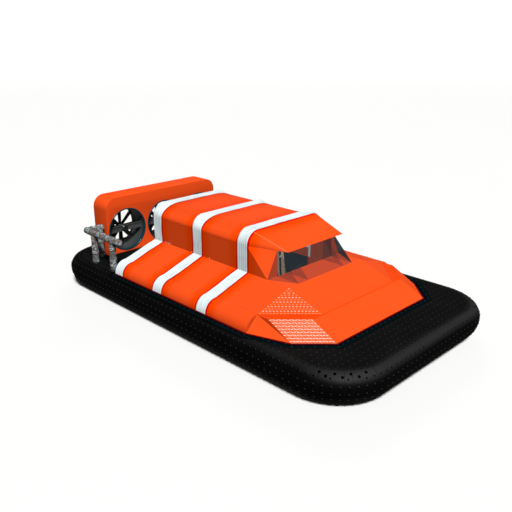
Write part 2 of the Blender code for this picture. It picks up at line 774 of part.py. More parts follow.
# %% Pipe rail at the starboard quarter
def build_pipe_rail():
    top = 2.55
    corner = at(-7.64, 24.46, top)
    runs = (
        (corner, at(-7.64, 19.60, top)),
        (corner, at(-6.15, 24.46, top)),
        (at(-7.64, 23.46, 0), at(-7.64, 23.46, top)),
        (at(-7.64, 20.78, 0), at(-7.64, 20.78, top)),
        (at(-6.50, 24.46, 0), at(-6.50, 24.46, top)),
    )
    lift = Vector((0, 0, GAP))
    bm = bmesh.new()
    bmesh.ops.create_uvsphere(bm, u_segments=20, v_segments=12, radius=RAIL_TUBE / 2 + 0.001,
                              matrix=Matrix.Translation(corner))
    rail = finish("pipe_rail", bm, "grey_metal", smooth=True)
    for start, end in runs:
        tube = bmesh.new()
        add_rod(tube, start + lift, end + lift, RAIL_TUBE / 2, 20)
        combine(rail, helper(tube), "UNION")


# %% Inside the cabin
def build_engine():
    fore, aft = at(0, 13, 0).y, at(0, 17.8, 0).y
    bm = bmesh.new()
    add_box(bm, (-0.35, fore, WELL_FLOOR + GAP), (0.35, aft, WELL_FLOOR + 0.72))
    finish("engine_block", bm, "iron")


def build_seat():
    """Seat shell on a pedestal, with a cushion and a back pad in it."""
    front, floor, pan, shell = at(0, 8.1, 0).y, WELL_FLOOR, 0.50, 0.020
    back = front + 0.46
    lean = math.tan(math.radians(8))
    top = floor + 1.00
    outline = [(front, pan), (back + shell, pan), (back + shell + lean * (top - pan), top),
               (back + lean * (top - pan), top), (back, pan + shell), (front, pan + shell)]
    bm = bmesh.new()
    add_prism(bm, outline, -0.24, 0.24, "yz")
    seat = finish("seat_shell", bm, "dark_metal")
    pedestal = bmesh.new()
    add_box(pedestal, (-0.15, front + 0.08, floor + GAP), (0.15, front + 0.40, pan + 0.005))
    combine(seat, helper(pedestal), "UNION")
    bm = bmesh.new()
    add_box(bm, (-0.23, front + 0.005, pan + shell + GAP), (0.23, back - 0.12, pan + 0.13))
    finish("seat_cushion", bm, "upholstery")
    low = pan + 0.022
    pad = 0.10
    outline = []
    for inset, height in ((GAP, low), (GAP, top), (pad, top), (pad, low)):
        outline.append((back + lean * (height - pan) - inset - 0.003, height))
    bm = bmesh.new()
    add_prism(bm, outline, -0.23, 0.23, "yz")
    finish("seat_back", bm, "upholstery")


def build_helm():
    fore, aft = at(0, 6.2, 0).y, at(0, 7.1, 0).y
    shelf = at(0, 0, COAMING_UP).z - WALL
    bm = bmesh.new()
    add_box(bm, (-0.32, fore, WELL_FLOOR + GAP), (0.32, aft, shelf - GAP))
    helm = finish("helm_console", bm, "interior")
    hub = Vector((0, aft + 0.13, shelf - 0.10))
    tilt = Matrix.Rotation(math.radians(-65), 4, "X")
    socket = bmesh.new()
    column_end = hub + Vector((0, -0.20, -0.20 * math.tan(math.radians(25))))
    add_rod(socket, column_end, hub, 0.0187)
    combine(helm, helper(socket), "DIFFERENCE")
    bm = bmesh.new()
    ring, tube, steps, sides = 0.165, 0.014, 32, 8
    points = []
    for step in range(steps):
        angle = 2 * math.pi * step / steps
        for x, y in arc((ring, 0), tube, 0, 360 - 360 / sides, sides - 1):
            points.append((x * math.cos(angle), x * math.sin(angle), y))
    faces = []
    for step in range(steps):
        low, high = step * sides, (step + 1) % steps * sides
        for index in range(sides):
            after = (index + 1) % sides
            faces.append((low + index, high + index, high + after, low + after))
    add_faces(bm, points, faces)
    place = Matrix.Translation(hub) @ tilt
    bmesh.ops.transform(bm, matrix=place, verts=bm.verts)
    wheel = finish("helm_wheel", bm, "black_blade", location=hub, smooth=True)
    for spoke in range(3):
        angle = 2 * math.pi * spoke / 3 + math.pi / 2
        rim = Vector((math.cos(angle), math.sin(angle), 0)) * ring
        bm = bmesh.new()
        add_rod(bm, place @ Vector((0, 0, 0)), place @ rim, 0.009, 10)
        combine(wheel, helper(bm), "UNION")
    bm = bmesh.new()
    add_rod(bm, hub + (column_end - hub) * 0.9, hub + (hub - column_end) * 0.08, 0.018)
    combine(wheel, helper(bm), "UNION")


# %% Build
for item in list(bpy.data.objects):
    bpy.data.objects.remove(item)
MATERIALS = {name: paint(name) for name in PAINTS}

build_skirt()
build_platform()
build_skids()
build_bow()
build_side_decks()
build_walls()
build_roof()
build_visor()
build_pillars()
build_dash()
build_bulkhead()
build_door()
build_glass()
build_bands()
build_housing()
for duct, offset in DUCTS.items():
    build_duct(duct, offset)
    build_fan(duct, offset)
    build_rudder(duct, offset)
build_rails()
build_pipe_rail()
build_engine()
build_seat()
build_helm()
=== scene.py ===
# %% [markdown]
# A work hovercraft, dressed from its plain solids
# This lesson gives an eight metre hovercraft its finish: a black studded skirt, a sun-faded orange
# hull of flat facets, creased white bands over the hull joints and three ducted fans at the stern.
# The solids are already in place, in metres, with the bow at -Y and the ground at Z = 0. They are
# loaded as a fixed frame, so every new piece is measured from them and none of them is moved.

# %% Load the fixed frame
import json
import math
import random

import bpy
import numpy as np
from mathutils import Matrix, Vector

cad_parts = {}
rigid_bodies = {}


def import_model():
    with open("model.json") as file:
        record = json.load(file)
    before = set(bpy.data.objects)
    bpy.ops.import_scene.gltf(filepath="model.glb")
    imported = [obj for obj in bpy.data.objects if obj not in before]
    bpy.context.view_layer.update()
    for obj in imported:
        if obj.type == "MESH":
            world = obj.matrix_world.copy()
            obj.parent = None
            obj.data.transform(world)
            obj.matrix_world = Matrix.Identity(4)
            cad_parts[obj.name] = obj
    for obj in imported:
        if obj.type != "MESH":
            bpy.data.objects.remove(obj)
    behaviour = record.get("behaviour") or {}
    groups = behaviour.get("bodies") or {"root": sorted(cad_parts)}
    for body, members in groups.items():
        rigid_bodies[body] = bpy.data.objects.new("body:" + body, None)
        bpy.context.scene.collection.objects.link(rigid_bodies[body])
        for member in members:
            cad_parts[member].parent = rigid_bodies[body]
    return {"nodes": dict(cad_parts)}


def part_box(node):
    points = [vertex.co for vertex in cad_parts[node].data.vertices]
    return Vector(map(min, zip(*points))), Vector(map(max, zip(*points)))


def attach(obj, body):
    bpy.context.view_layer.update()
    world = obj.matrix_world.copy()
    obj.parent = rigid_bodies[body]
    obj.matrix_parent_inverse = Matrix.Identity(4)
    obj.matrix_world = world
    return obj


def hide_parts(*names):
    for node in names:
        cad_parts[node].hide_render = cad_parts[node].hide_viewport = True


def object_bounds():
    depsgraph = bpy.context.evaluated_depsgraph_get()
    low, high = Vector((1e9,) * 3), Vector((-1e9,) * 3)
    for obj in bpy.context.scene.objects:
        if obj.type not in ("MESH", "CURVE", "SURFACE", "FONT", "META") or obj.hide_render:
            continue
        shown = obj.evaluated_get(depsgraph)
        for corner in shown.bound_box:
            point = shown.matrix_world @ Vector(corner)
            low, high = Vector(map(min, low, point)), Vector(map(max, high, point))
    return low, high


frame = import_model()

cad_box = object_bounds()
print("solids span", [round(a - b, 3) for a, b in zip(cad_box[1], cad_box[0])], "metres")

# %% [markdown]
# The hull is drawn on frames 0.25 m apart, the way a small boat is lofted. A place on it is easier to
# read as three counts of frames, across from the middle, aft from the stem and up from the black
# deck, than as metres. The counts are turned to metres by one function, measured from the solids.

# %% Places counted in hull frames
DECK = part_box("platform")[1].z
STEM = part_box("bow_deck")[0].y
FRAME = (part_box("band_middle")[0].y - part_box("band_forward")[0].y) / 5
BEAM = cad_box[1].x
STERN = cad_box[1].y
GAP = 0.0003  # left between pieces that rest on each other


def at(across, aft, up):
    """World place of a point given in frames."""
    return Vector((across * FRAME, STEM + aft * FRAME, DECK + up * FRAME))


print("deck at", round(DECK, 3), "m, stem at", round(STEM, 3), "m, frames", round(FRAME, 3), "m apart")

# %% [markdown]
# Most pieces are made the way a person makes them in the window: add a primitive, go into edit mode,
# select some faces or edges and run a tool on them. Without a window the selecting is done in code,
# by asking each face or edge where it is. These few helpers do that, and nothing is left selected
# from one piece to the next.

# %% Selecting in code
def clear_selection():
    """Leave edit mode and deselect everything."""
    if bpy.context.object and bpy.context.object.mode != "OBJECT":
        bpy.ops.object.mode_set(mode="OBJECT")
    bpy.ops.object.select_all(action="DESELECT")


def only(thing):
    """Make one object the only one selected."""
    clear_selection()
    thing.select_set(True)
    bpy.context.view_layer.objects.active = thing


def pick(thing, kind, test):
    """Select edges by their ends, or faces by their middle and normal, and stay in edit mode."""
    only(thing)
    mesh = thing.data
    bpy.context.tool_settings.mesh_select_mode = (False, kind == "EDGE", kind == "FACE")
    for group in (mesh.vertices, mesh.edges, mesh.polygons):
        group.foreach_set("select", [False] * len(group))
    if kind == "EDGE":
        for edge in mesh.edges:
            edge.select = bool(test(*[mesh.vertices[index].co for index in edge.vertices]))
    else:
        for face in mesh.polygons:
            face.select = bool(test(face.center, face.normal))
    bpy.ops.object.mode_set(mode="EDIT")


def whole(thing):
    """Go into edit mode with everything selected."""
    only(thing)
    bpy.ops.object.mode_set(mode="EDIT")
    bpy.ops.mesh.select_all(action="SELECT")


print("ready to select")

# %% [markdown]
# A piece starts as a primitive and is finished with modifiers. Each helper here does one such step
# and applies it at once, so that a piece's whole shape is in its mesh and its object stays unmoved.

# %% Primitives and modifiers
def modify(thing, kind, **settings):
    """Add a modifier and apply it."""
    only(thing)
    modifier = thing.modifiers.new(kind.lower(), kind)
    for name, value in settings.items():
        setattr(modifier, name, value)
    bpy.ops.object.modifier_apply(modifier=modifier.name)


def settle(thing):
    """Put an object's place, turn and size into its mesh."""
    only(thing)
    bpy.ops.object.transform_apply(location=True, rotation=True, scale=True)
    return thing


def outward(thing):
    """Merge doubled points and make every face point outwards."""
    whole(thing)
    bpy.ops.mesh.remove_doubles(threshold=0.00005)
    bpy.ops.mesh.normals_make_consistent(inside=False)
    bpy.ops.object.mode_set(mode="OBJECT")
    return thing


def block(low, high):
    """A cube primitive stretched between two corners."""
    clear_selection()
    low, high = Vector(low), Vector(high)
    bpy.ops.mesh.primitive_cube_add(size=1, location=(low + high) / 2, scale=high - low)
    return settle(bpy.context.object)


def rod(start, end, radius, sides=32):
    """A cylinder primitive between two points."""
    start, end = Vector(start), Vector(end)
    turn = (end - start).to_track_quat("Z", "Y").to_euler()
    clear_selection()
    bpy.ops.mesh.primitive_cylinder_add(vertices=sides, radius=radius, depth=(end - start).length,
                                        location=(start + end) / 2, rotation=turn)
    return settle(bpy.context.object)


def soften(thing, width, segments=2, angle=30):
    """Round every sharp edge a little, so that it catches the light."""
    modify(thing, "BEVEL", width=width, segments=segments, limit_method="ANGLE",
           angle_limit=math.radians(angle), harden_normals=False)
    return thing


def subtract(thing, cutter):
    modify(thing, "BOOLEAN", operation="DIFFERENCE", solver="EXACT", object=cutter)
    bpy.data.objects.remove(cutter)


print("ready to model")

# %% [markdown]
# What repeats is modelled once and then copied, each copy with its own mesh. A shape that follows a
# rule, such as a section that is spun round a corner, starts from a list of points instead.

# %% Copies, and shapes from points
def join(things):
    """Join several objects into the first one."""
    only(things[0])
    for thing in things[1:]:
        thing.select_set(True)
    bpy.ops.object.join()
    return things[0]


def copied(thing):
    """A copy with its own mesh."""
    twin = bpy.data.objects.new("copy", thing.data.copy())
    bpy.context.scene.collection.objects.link(twin)
    return twin


def set_out(pattern, moves):
    """Copies of a piece, each placed by a matrix, joined as one."""
    copies = [copied(pattern) for _ in moves]
    for twin, move in zip(copies, moves):
        twin.data.transform(move)
    bpy.data.objects.remove(pattern)
    return join(copies)


def mesh_piece(points, faces, edges=()):
    """An object from points and faces."""
    mesh = bpy.data.meshes.new("piece")
    mesh.from_pydata([tuple(point) for point in points], edges, faces)
    thing = bpy.data.objects.new("piece", mesh)
    bpy.context.scene.collection.objects.link(thing)
    return thing


def loop_to_spin(points):
    """A closed loop of edges through points, left selected in edit mode."""
    count = len(points)
    thing = mesh_piece(points, [], [(index, (index + 1) % count) for index in range(count)])
    whole(thing)
    return thing


def crown(thing, thickness, rise):
    """Inset a piece's top face and raise its middle, or let it in."""
    pick(thing, "FACE", lambda centre, normal: normal.z > 0.9)
    bpy.ops.mesh.inset(thickness=thickness)
    bpy.ops.transform.translate(value=(0, 0, rise))
    bpy.ops.object.mode_set(mode="OBJECT")
    return thing


def steps_from(place, *steps):
    """Places given as steps from one place."""
    return [place + Vector(step) for step in steps]


print("ready to copy")

# %% [markdown]
# A finished piece is shaded smooth up to its sharp edges and gets a name, a material and the body that
# it rides on; if it stands for a solid, that solid is hidden. Some solids are right as they are, and a
# merged copy of one only needs its edges eased.

# %% Finished pieces
def keep(thing, name, body, material, stands_for=(), angle=30):
    """Name a finished piece, shade it, give it its material and let it ride on a body."""
    only(thing)
    bpy.ops.object.shade_smooth_by_angle(angle=math.radians(angle))
    thing.name = thing.data.name = name
    thing.data.materials.clear()
    thing.data.materials.append(material)
    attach(thing, body)
    if stands_for:
        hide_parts(*stands_for)
    return thing


def carried_copy(node):
    """A merged copy of a solid whose flat faces are whole again, to finish by hand."""
    thing = copied(frame["nodes"][node])
    whole(thing)
    bpy.ops.mesh.remove_doubles(threshold=0.00005)
    bpy.ops.mesh.dissolve_limited(angle_limit=math.radians(0.5))
    bpy.ops.object.mode_set(mode="OBJECT")
    return thing


print("ready to finish")

# %% [markdown]
# The picture was taken from off the starboard bow, about 11 m away and a little above the roof, with
# a normal lens. The camera is set from its own measured place: where it stands, how far it is turned
# and how far it looks down.

# %% Camera
CAMERA_PLACE = (-8.2285, -8.2738, 5.0965)
CAMERA_TURN = -44.87  # degrees from looking along +Y
CAMERA_DOWN = 19.494  # degrees below the horizon
CAMERA_LENS = 43.885  # mm on a sensor 36 mm wide

lens = bpy.data.cameras.new("camera")
lens.lens = CAMERA_LENS
lens.sensor_width = 36.0
lens.clip_end = 400.0
camera = bpy.data.objects.new("camera", lens)
camera.location = CAMERA_PLACE
camera.rotation_euler = (math.radians(90 - CAMERA_DOWN), 0, math.radians(CAMERA_TURN))
bpy.context.scene.collection.objects.link(camera)
bpy.context.scene.camera = camera
print("camera looks along", [round(v, 3) for v in camera.matrix_basis.to_3x3() @ Vector((0, 0, -1))])

# %% [markdown]
# The light is that of a pale studio: one broad soft light from over the starboard bow, a weak one
# from the other side and a pale room. A sun with a wide disc is used for the main light, because it
# is as strong at the stern as at the bow, eight metres further on, where an area lamp would fade.

# %% Floor, room and lights
KEY_FROM = Vector((-0.368, -0.537, 0.759))
FILL_FROM = Vector((0.75, 0.62, 0.20))
KEY_STRENGTH = 4.42
FILL_STRENGTH = 1.2
ROOM_STRENGTH = 0.07


def studio_sun(name, direction, strength, width, glossy):
    """A sun; one that only fills in is kept out of the reflections."""
    light = bpy.data.lights.new(name, "SUN")
    light.energy = strength
    light.angle = math.radians(width)
    lamp = bpy.data.objects.new(name, light)
    lamp.rotation_euler = direction.to_track_quat("Z", "Y").to_euler()
    lamp.visible_glossy = glossy
    bpy.context.scene.collection.objects.link(lamp)


studio_sun("key_light", KEY_FROM, KEY_STRENGTH, 12, True)
studio_sun("fill_light", FILL_FROM, FILL_STRENGTH, 40, False)

room = bpy.data.worlds.new("pale_room")
room.use_nodes = True
room.node_tree.nodes["Background"].inputs["Color"].default_value = (1.0, 1.0, 1.0, 1.0)
room.node_tree.nodes["Background"].inputs["Strength"].default_value = ROOM_STRENGTH
bpy.context.scene.world = room
bpy.context.scene.view_settings.view_transform = "Standard"
print("lights: key", KEY_STRENGTH, "fill", FILL_STRENGTH, "room", ROOM_STRENGTH)

# %% [markdown]
# A material is a small graph of nodes. Two helpers keep the graphs short: one turns a colour picked
# in a paint program into the linear numbers that shaders use. The other adds a node with its options
# and its inputs, each a fixed value or a link, and gives the socket to go on from. Patterns are
# measured in metres on the object itself.

# %% Helpers for materials
COLOUR_A, COLOUR_B, COLOUR_OUT = 6, 7, 2  # sockets of a Mix node that mixes colours
BANDS_A_METRE = 3.18  # of a wave texture whose scale is 1


def srgb(code):
    """Turn an sRGB hex value into a linear colour."""
    channels = [int(code[start:start + 2], 16) / 255 for start in (1, 3, 5)]
    linear = [c / 12.92 if c <= 0.04045 else ((c + 0.055) / 1.055) ** 2.4 for c in channels]
    return (*linear, 1.0)


def add_node(tree, kind, inputs=(), output=0, **settings):
    """Add a node with its options and inputs, values or links, and give one output."""
    node = tree.nodes.new("ShaderNode" + kind)
    for name, value in settings.items():
        setattr(node, name, value)
    for socket, value in dict(inputs).items():
        if isinstance(value, bpy.types.NodeSocket):
            tree.links.new(value, node.inputs[socket])
        else:
            node.inputs[socket].default_value = value
    return node.outputs[output]


def start_material(name, colour, roughness, **values):
    """A new material: its tree, its shader and the object's own coordinates."""
    material = bpy.data.materials.new(name)
    material.use_nodes = True
    tree = material.node_tree
    shader = tree.nodes["Principled BSDF"]
    shader.inputs["Base Color"].default_value = srgb(colour)
    shader.inputs["Roughness"].default_value = roughness
    for socket, value in values.items():
        shader.inputs[socket.replace("_", " ")].default_value = value
    return material, tree, shader, add_node(tree, "TexCoord", output="Object")


print("orange in linear numbers", [round(c, 3) for c in srgb("#FF5A26")])

# %% [markdown]
# The hull is moulded composite with an orange gelcoat whose tone varies a little at random. Beside the
# white bands a deeper orange is painted, a painted shade, and along the bands' edges a red line, a
# painted shadow. Here the distance to the nearest band is worked out from the Y coordinate, so the
# painted shade lies where the real bands are.

# %% How near a white band is
BAND_STEP = 5 * FRAME
BAND_HALF = FRAME / 2
FIRST_BAND = at(0, 9.5, 0).y
BAND_SHADE_FULL, BAND_SHADE_NONE = 0.08, 0.30  # m from a band's edge
EDGE_SHADOW_FULL, EDGE_SHADOW_NONE = 0.030, 0.044  # m from a band's edge
RAGGED = 0.03  # m that the painted shade's edge wanders


def band_shade_masks(tree, place, along, before_stern):
    """Where painted shade deepens the colour beside the bands, and where a painted red shadow lines
    their edges.
    """
    shifted = add_node(tree, "Math", {0: along, 1: FIRST_BAND - BAND_STEP / 2}, operation="SUBTRACT")
    cell = add_node(tree, "Math", {0: shifted, 1: BAND_STEP}, operation="FLOORED_MODULO")
    centred = add_node(tree, "Math", {0: cell, 1: BAND_STEP / 2}, operation="SUBTRACT")
    away = add_node(tree, "Math", {0: centred}, operation="ABSOLUTE")
    behind_bow = add_node(tree, "MapRange", {"Value": along, "From Min": at(0, 7.6, 0).y,
                                             "From Max": at(0, 8, 0).y})
    amidships = add_node(tree, "Math", {0: behind_bow, 1: before_stern}, operation="MULTIPLY")
    wander = add_node(tree, "TexNoise", {"Vector": place, "Scale": 5.0, "Detail": 4.0})
    wander = add_node(tree, "MapRange", {"Value": wander, "To Min": -RAGGED, "To Max": RAGGED})
    ragged = add_node(tree, "Math", {0: away, 1: wander}, operation="ADD")
    band_shade, band_edge_shadow = [
        add_node(tree, "MapRange", {"Value": distance, "From Min": BAND_HALF + none,
                                    "From Max": BAND_HALF + full}, interpolation_type="SMOOTHSTEP")
        for distance, none, full in ((ragged, BAND_SHADE_NONE, BAND_SHADE_FULL), (away, EDGE_SHADOW_NONE, EDGE_SHADOW_FULL))]
    return [add_node(tree, "Math", {0: mask, 1: amidships}, operation="MULTIPLY")
            for mask in (band_shade, band_edge_shadow)]


print("bands every", BAND_STEP, "m")

# %% [markdown]
# Light is painted on: the level faces above the side decks are made lighter most, and the roof's round
# edges paler. Upright faces get darker diagonal threads, a painted shade in stripes; the same threads
# give the smooth gelcoat a faint relief.

# %% Material: orange gelcoat with painted light and shade
THREAD_PITCH = 0.025  # m between the diagonal threads of painted shade and relief
LEVEL = (0.93, 1.0, 1.0)  # of a face's normal, up: none from, all from, and how much all is
ROUNDED = (0.95, 0.4, 1.0)
UPRIGHT = (0.35, 0.1, 0.30)
PAINTED_TOP_LIGHT = (1.22, 0.99, 0.55, 1)  # each of these three multiplies the colour: painted light, painted light and painted shade
PAINTED_EDGE_LIGHT = (1.25, 1.22, 1.22, 1)
THREAD_SHADE = (0.5, 0.5, 0.5, 1)


def gelcoat(name, base_orange, deep_tone_and_shade, edge_shadow_red):
    material, tree, shader, place = start_material(name, base_orange, 0.45, IOR=1.5,
                                                   Specular_IOR_Level=0.02)
    along = add_node(tree, "SeparateXYZ", {"Vector": place}, "Y")
    up = add_node(tree, "SeparateXYZ", {"Vector": place}, "Z")
    before_stern = add_node(tree, "MapRange", {"Value": along, "From Min": at(0, 19.99, 0).y,
                                               "From Max": at(0, 19.8, 0).y})
    band_shade, band_edge_shadow = band_shade_masks(tree, place, along, before_stern)
    # painted shade: the level strip on the bow before the side decks gets the deeper orange too
    level = add_node(tree, "Math", {0: up, 1: at(0, 0, 1).z, 2: 0.004}, operation="COMPARE")
    before_decks = add_node(tree, "Math", {0: along, 1: at(0, 5, 0).y}, operation="LESS_THAN")
    shelf = add_node(tree, "Math", {0: level, 1: before_decks}, operation="MULTIPLY")
    band_shade = add_node(tree, "Math", {0: band_shade, 1: shelf}, operation="MAXIMUM")

    normal = add_node(tree, "TexCoord", output="Normal")
    lean = add_node(tree, "SeparateXYZ", {"Vector": normal}, "Z")
    facing, rounded, upright = [
        add_node(tree, "MapRange", {"Value": lean, "From Min": none, "From Max": full, "To Max": most})
        for none, full, most in (LEVEL, ROUNDED, UPRIGHT)]
    inboard, eaves, behind_brow = [
        add_node(tree, "Math", {0: axis, 1: limit}, operation="GREATER_THAN")
        for axis, limit in ((up, at(0, 0, 2).z), (up, at(0, 0, 4).z), (along, at(0, 9, 0).y))]
    # painted light: level faces above the sills are made lighter
    facing = add_node(tree, "Math", {0: facing, 1: inboard}, operation="MULTIPLY")
    # painted light: the roof's round edges are made paler
    for mask in (eaves, behind_brow, before_stern):
        rounded = add_node(tree, "Math", {0: rounded, 1: mask}, operation="MULTIPLY")
    slanted = add_node(tree, "Mapping", {"Vector": place,
                                         "Rotation": (math.radians(38), 0.0, math.radians(20))})
    threads = add_node(tree, "TexWave", {"Vector": slanted, "Distortion": 1.5,
                                         "Scale": 1 / (THREAD_PITCH * BANDS_A_METRE)}, "Fac",
                       bands_direction="Z")
    # painted shade: the threads darken upright faces in stripes
    shaded_threads = add_node(tree, "Math", {0: threads, 1: upright}, operation="MULTIPLY")

    patchy = add_node(tree, "TexNoise", {"Vector": place, "Scale": 1.6, "Detail": 3.0})
    weather = add_node(tree, "MapRange", {"Value": patchy, "From Min": 0.35, "From Max": 0.75,
                                          "To Max": 0.15})
    shade = srgb(base_orange)
    # the deeper orange and the red line by the bands are painted shade; of the three multipliers, two
    # are painted light and one is painted shade
    for share, colour, blend in ((weather, srgb(deep_tone_and_shade), "MIX"), (band_shade, srgb(deep_tone_and_shade), "MIX"),
                                 (band_edge_shadow, srgb(edge_shadow_red), "MIX"), (facing, PAINTED_TOP_LIGHT, "MULTIPLY"),
                                 (rounded, PAINTED_EDGE_LIGHT, "MULTIPLY"), (shaded_threads, THREAD_SHADE, "MULTIPLY")):
        shade = add_node(tree, "Mix", {"Factor": share, COLOUR_A: shade, COLOUR_B: colour},
                         COLOUR_OUT, data_type="RGBA", blend_type=blend)
    tree.links.new(shade, shader.inputs["Base Color"])
    peel = add_node(tree, "TexNoise", {"Vector": place, "Scale": 90.0, "Detail": 2.0})
    height = add_node(tree, "Math", {0: threads, 1: peel}, operation="ADD")
    relief = add_node(tree, "Bump", {"Height": height, "Strength": 0.35, "Distance": 0.0007})
    tree.links.new(relief, shader.inputs["Normal"])
    return material


GELCOAT = gelcoat("orange_gelcoat_painted_light_and_shade", "#EE501D", "#EC4200", "#D00000")
print("gelcoat made, threads drawn", THREAD_PITCH * 1000, "mm apart")

# %% [markdown]
# The skirt is nylon cloth coated with black rubber. It is nearly black, with a soft wide shine where it
# curves towards the light and a little dust. Towards the bow a greyer black is painted on the round
# edge where it faces the way the light falls, on either side: a painted highlight. Its weave is finer
# than a picture shows, so it is drawn four times too coarse, at 12 mm. The deck is a rubber sheet, a
# shade duller.

# %% Materials: coated skirt cloth and deck rubber
CLOTH_THREADS = 0.012
HIGHLIGHT_FACES = (0.26, 0.46, 0.85)  # the way that the skin with the most painted highlight faces, on either side
HIGHLIGHT_FROM, HIGHLIGHT_POWER = 0.74, 1.9  # how near a face has to come to it, and how fast the painted highlight grows
HIGHLIGHT_FULL = -2.6  # Y in m where the painted highlight is full; there is none aft of the craft's middle


def black_rubber(name, colour, dusty, roughness, shine, painted_highlight=None):
    material, tree, shader, place = start_material(name, colour, roughness, IOR=1.5,
                                                   Specular_IOR_Level=shine)
    dust = add_node(tree, "TexNoise", {"Vector": place, "Scale": 2.2, "Detail": 6.0,
                                       "Roughness": 0.6})
    share = add_node(tree, "MapRange", {"Value": dust, "From Min": 0.45, "From Max": 0.8})
    shade = add_node(tree, "Mix", {"Factor": share, COLOUR_A: srgb(colour), COLOUR_B: srgb(dusty)},
                     COLOUR_OUT, data_type="RGBA")
    # painted highlight: a greyer black on the skin that faces the light, towards the bow
    if painted_highlight:
        facing = add_node(tree, "TexCoord", output="Normal")
        facing = add_node(tree, "VectorMath", {0: facing}, operation="ABSOLUTE")
        facing = add_node(tree, "VectorMath", {0: facing, 1: HIGHLIGHT_FACES}, "Value",
                          operation="DOT_PRODUCT")
        wear_and_highlight = add_node(tree, "MapRange", {"Value": facing, "From Min": HIGHLIGHT_FROM, "From Max": 1.0})
        wear_and_highlight = add_node(tree, "Math", {0: wear_and_highlight, 1: HIGHLIGHT_POWER}, operation="POWER")
        forward = add_node(tree, "SeparateXYZ", {"Vector": place}, "Y")
        forward = add_node(tree, "MapRange", {"Value": forward, "From Min": 0.0,
                                              "From Max": HIGHLIGHT_FULL})
        wear_and_highlight = add_node(tree, "Math", {0: wear_and_highlight, 1: forward}, operation="MULTIPLY")
        shade = add_node(tree, "Mix", {"Factor": wear_and_highlight, COLOUR_A: shade, COLOUR_B: srgb(painted_highlight)},
                         COLOUR_OUT, data_type="RGBA")
    tree.links.new(shade, shader.inputs["Base Color"])
    waves = [add_node(tree, "TexWave", {"Vector": place, "Scale": 1 / (CLOTH_THREADS * BANDS_A_METRE)},
                      "Fac", bands_direction=direction) for direction in "XYZ"]
    weave = add_node(tree, "Math", {0: waves[0], 1: waves[1]}, operation="MULTIPLY")
    weave = add_node(tree, "Math", {0: weave, 1: waves[2]}, operation="ADD")
    relief = add_node(tree, "Bump", {"Height": weave, "Strength": 0.3, "Distance": 0.0006})
    tree.links.new(relief, shader.inputs["Normal"])
    return material


SKIRT_CLOTH = black_rubber("rubber_coated_nylon", "#050505", "#090909", 0.50, 0.06, "#2B2B2B")
DECK_RUBBER = black_rubber("deck_rubber_sheet", "#0C0C0C", "#111111", 0.62, 0.05)
# studs are a lighter grey than the skin: a painted highlight for their lit sides
HIGHLIGHT_STUD_RUBBER = black_rubber("stud_rubber_painted_highlight", "#242424", "#303030", 0.50, 0.12)
# black with no shine, put where shade falls: painted shadows beside the studs, in the eyes and under
# the bands' ends
PAINTED_SHADOW_BLACK = start_material("painted_shadow_black", "#000000", 0.9, Specular_IOR_Level=0.02)[0]
FOOT_RUBBER = start_material("black_moulded_rubber", "#050505", 0.55, IOR=1.5)[0]
print("rubber made, threads drawn", CLOTH_THREADS * 1000, "mm apart")

# %% [markdown]
# The bands are white coated webbing laid over the hull joints in several plies. Its colour is a cold
# white with grey dirt that runs lengthwise, so the dirt is a noise stretched along the band: fine
# across the craft's length, coarse round its girth. In the same patches the bottoms of the folds are
# greyed, a painted shade.

# %% Material: white webbing
DIRT_SCALE = (5.0, 95.0, 5.0)  # noise in a metre: streaks about 10 mm wide and 200 mm long


def webbing():
    material, tree, shader, place = start_material("white_coated_webbing", "#EEF4F4", 0.55,
                                                   IOR=1.46, Sheen_Weight=0.15)
    streaks = add_node(tree, "Mapping", {"Vector": place, "Scale": DIRT_SCALE})
    dirt = add_node(tree, "TexNoise", {"Vector": streaks, "Scale": 1.0, "Detail": 5.0,
                                       "Roughness": 0.65})
    share = add_node(tree, "MapRange", {"Value": dirt, "From Min": 0.50, "From Max": 0.74})
    patches = add_node(tree, "TexNoise", {"Vector": place, "Scale": 4.0, "Detail": 2.0})
    where = add_node(tree, "MapRange", {"Value": patches, "From Min": 0.35, "From Max": 0.65,
                                        "To Min": 0.25})
    crease = add_node(tree, "Attribute", output="Fac", attribute_name="crease")
    # painted shade: the deeper a point lies in a fold, the greyer
    fold_shade = add_node(tree, "MapRange", {"Value": crease, "From Min": 0.4, "From Max": 0.85})
    share, fold_shade = [add_node(tree, "Math", {0: mask, 1: where}, operation="MULTIPLY")
                   for mask in (share, fold_shade)]
    share = add_node(tree, "Math", {0: share, 1: fold_shade}, operation="MAXIMUM")
    shade = add_node(tree, "Mix", {"Factor": share, COLOUR_A: srgb("#E4F0F2"),
                                   COLOUR_B: srgb("#748082")}, COLOUR_OUT, data_type="RGBA")
    tree.links.new(shade, shader.inputs["Base Color"])
    relief = add_node(tree, "Bump", {"Height": dirt, "Strength": 0.5, "Distance": 0.002})
    tree.links.new(relief, shader.inputs["Normal"])
    return material


WEBBING = webbing()
print("webbing made")

# %% [markdown]
# The ducts are sheet metal with a blue-black enamel, the fan blades are glass filled nylon and the
# bolts are stainless. A sprayed or moulded surface is even, with a slight orange peel that breaks up
# its gloss, and worn patches of nearly the same colour. One recipe serves them all.

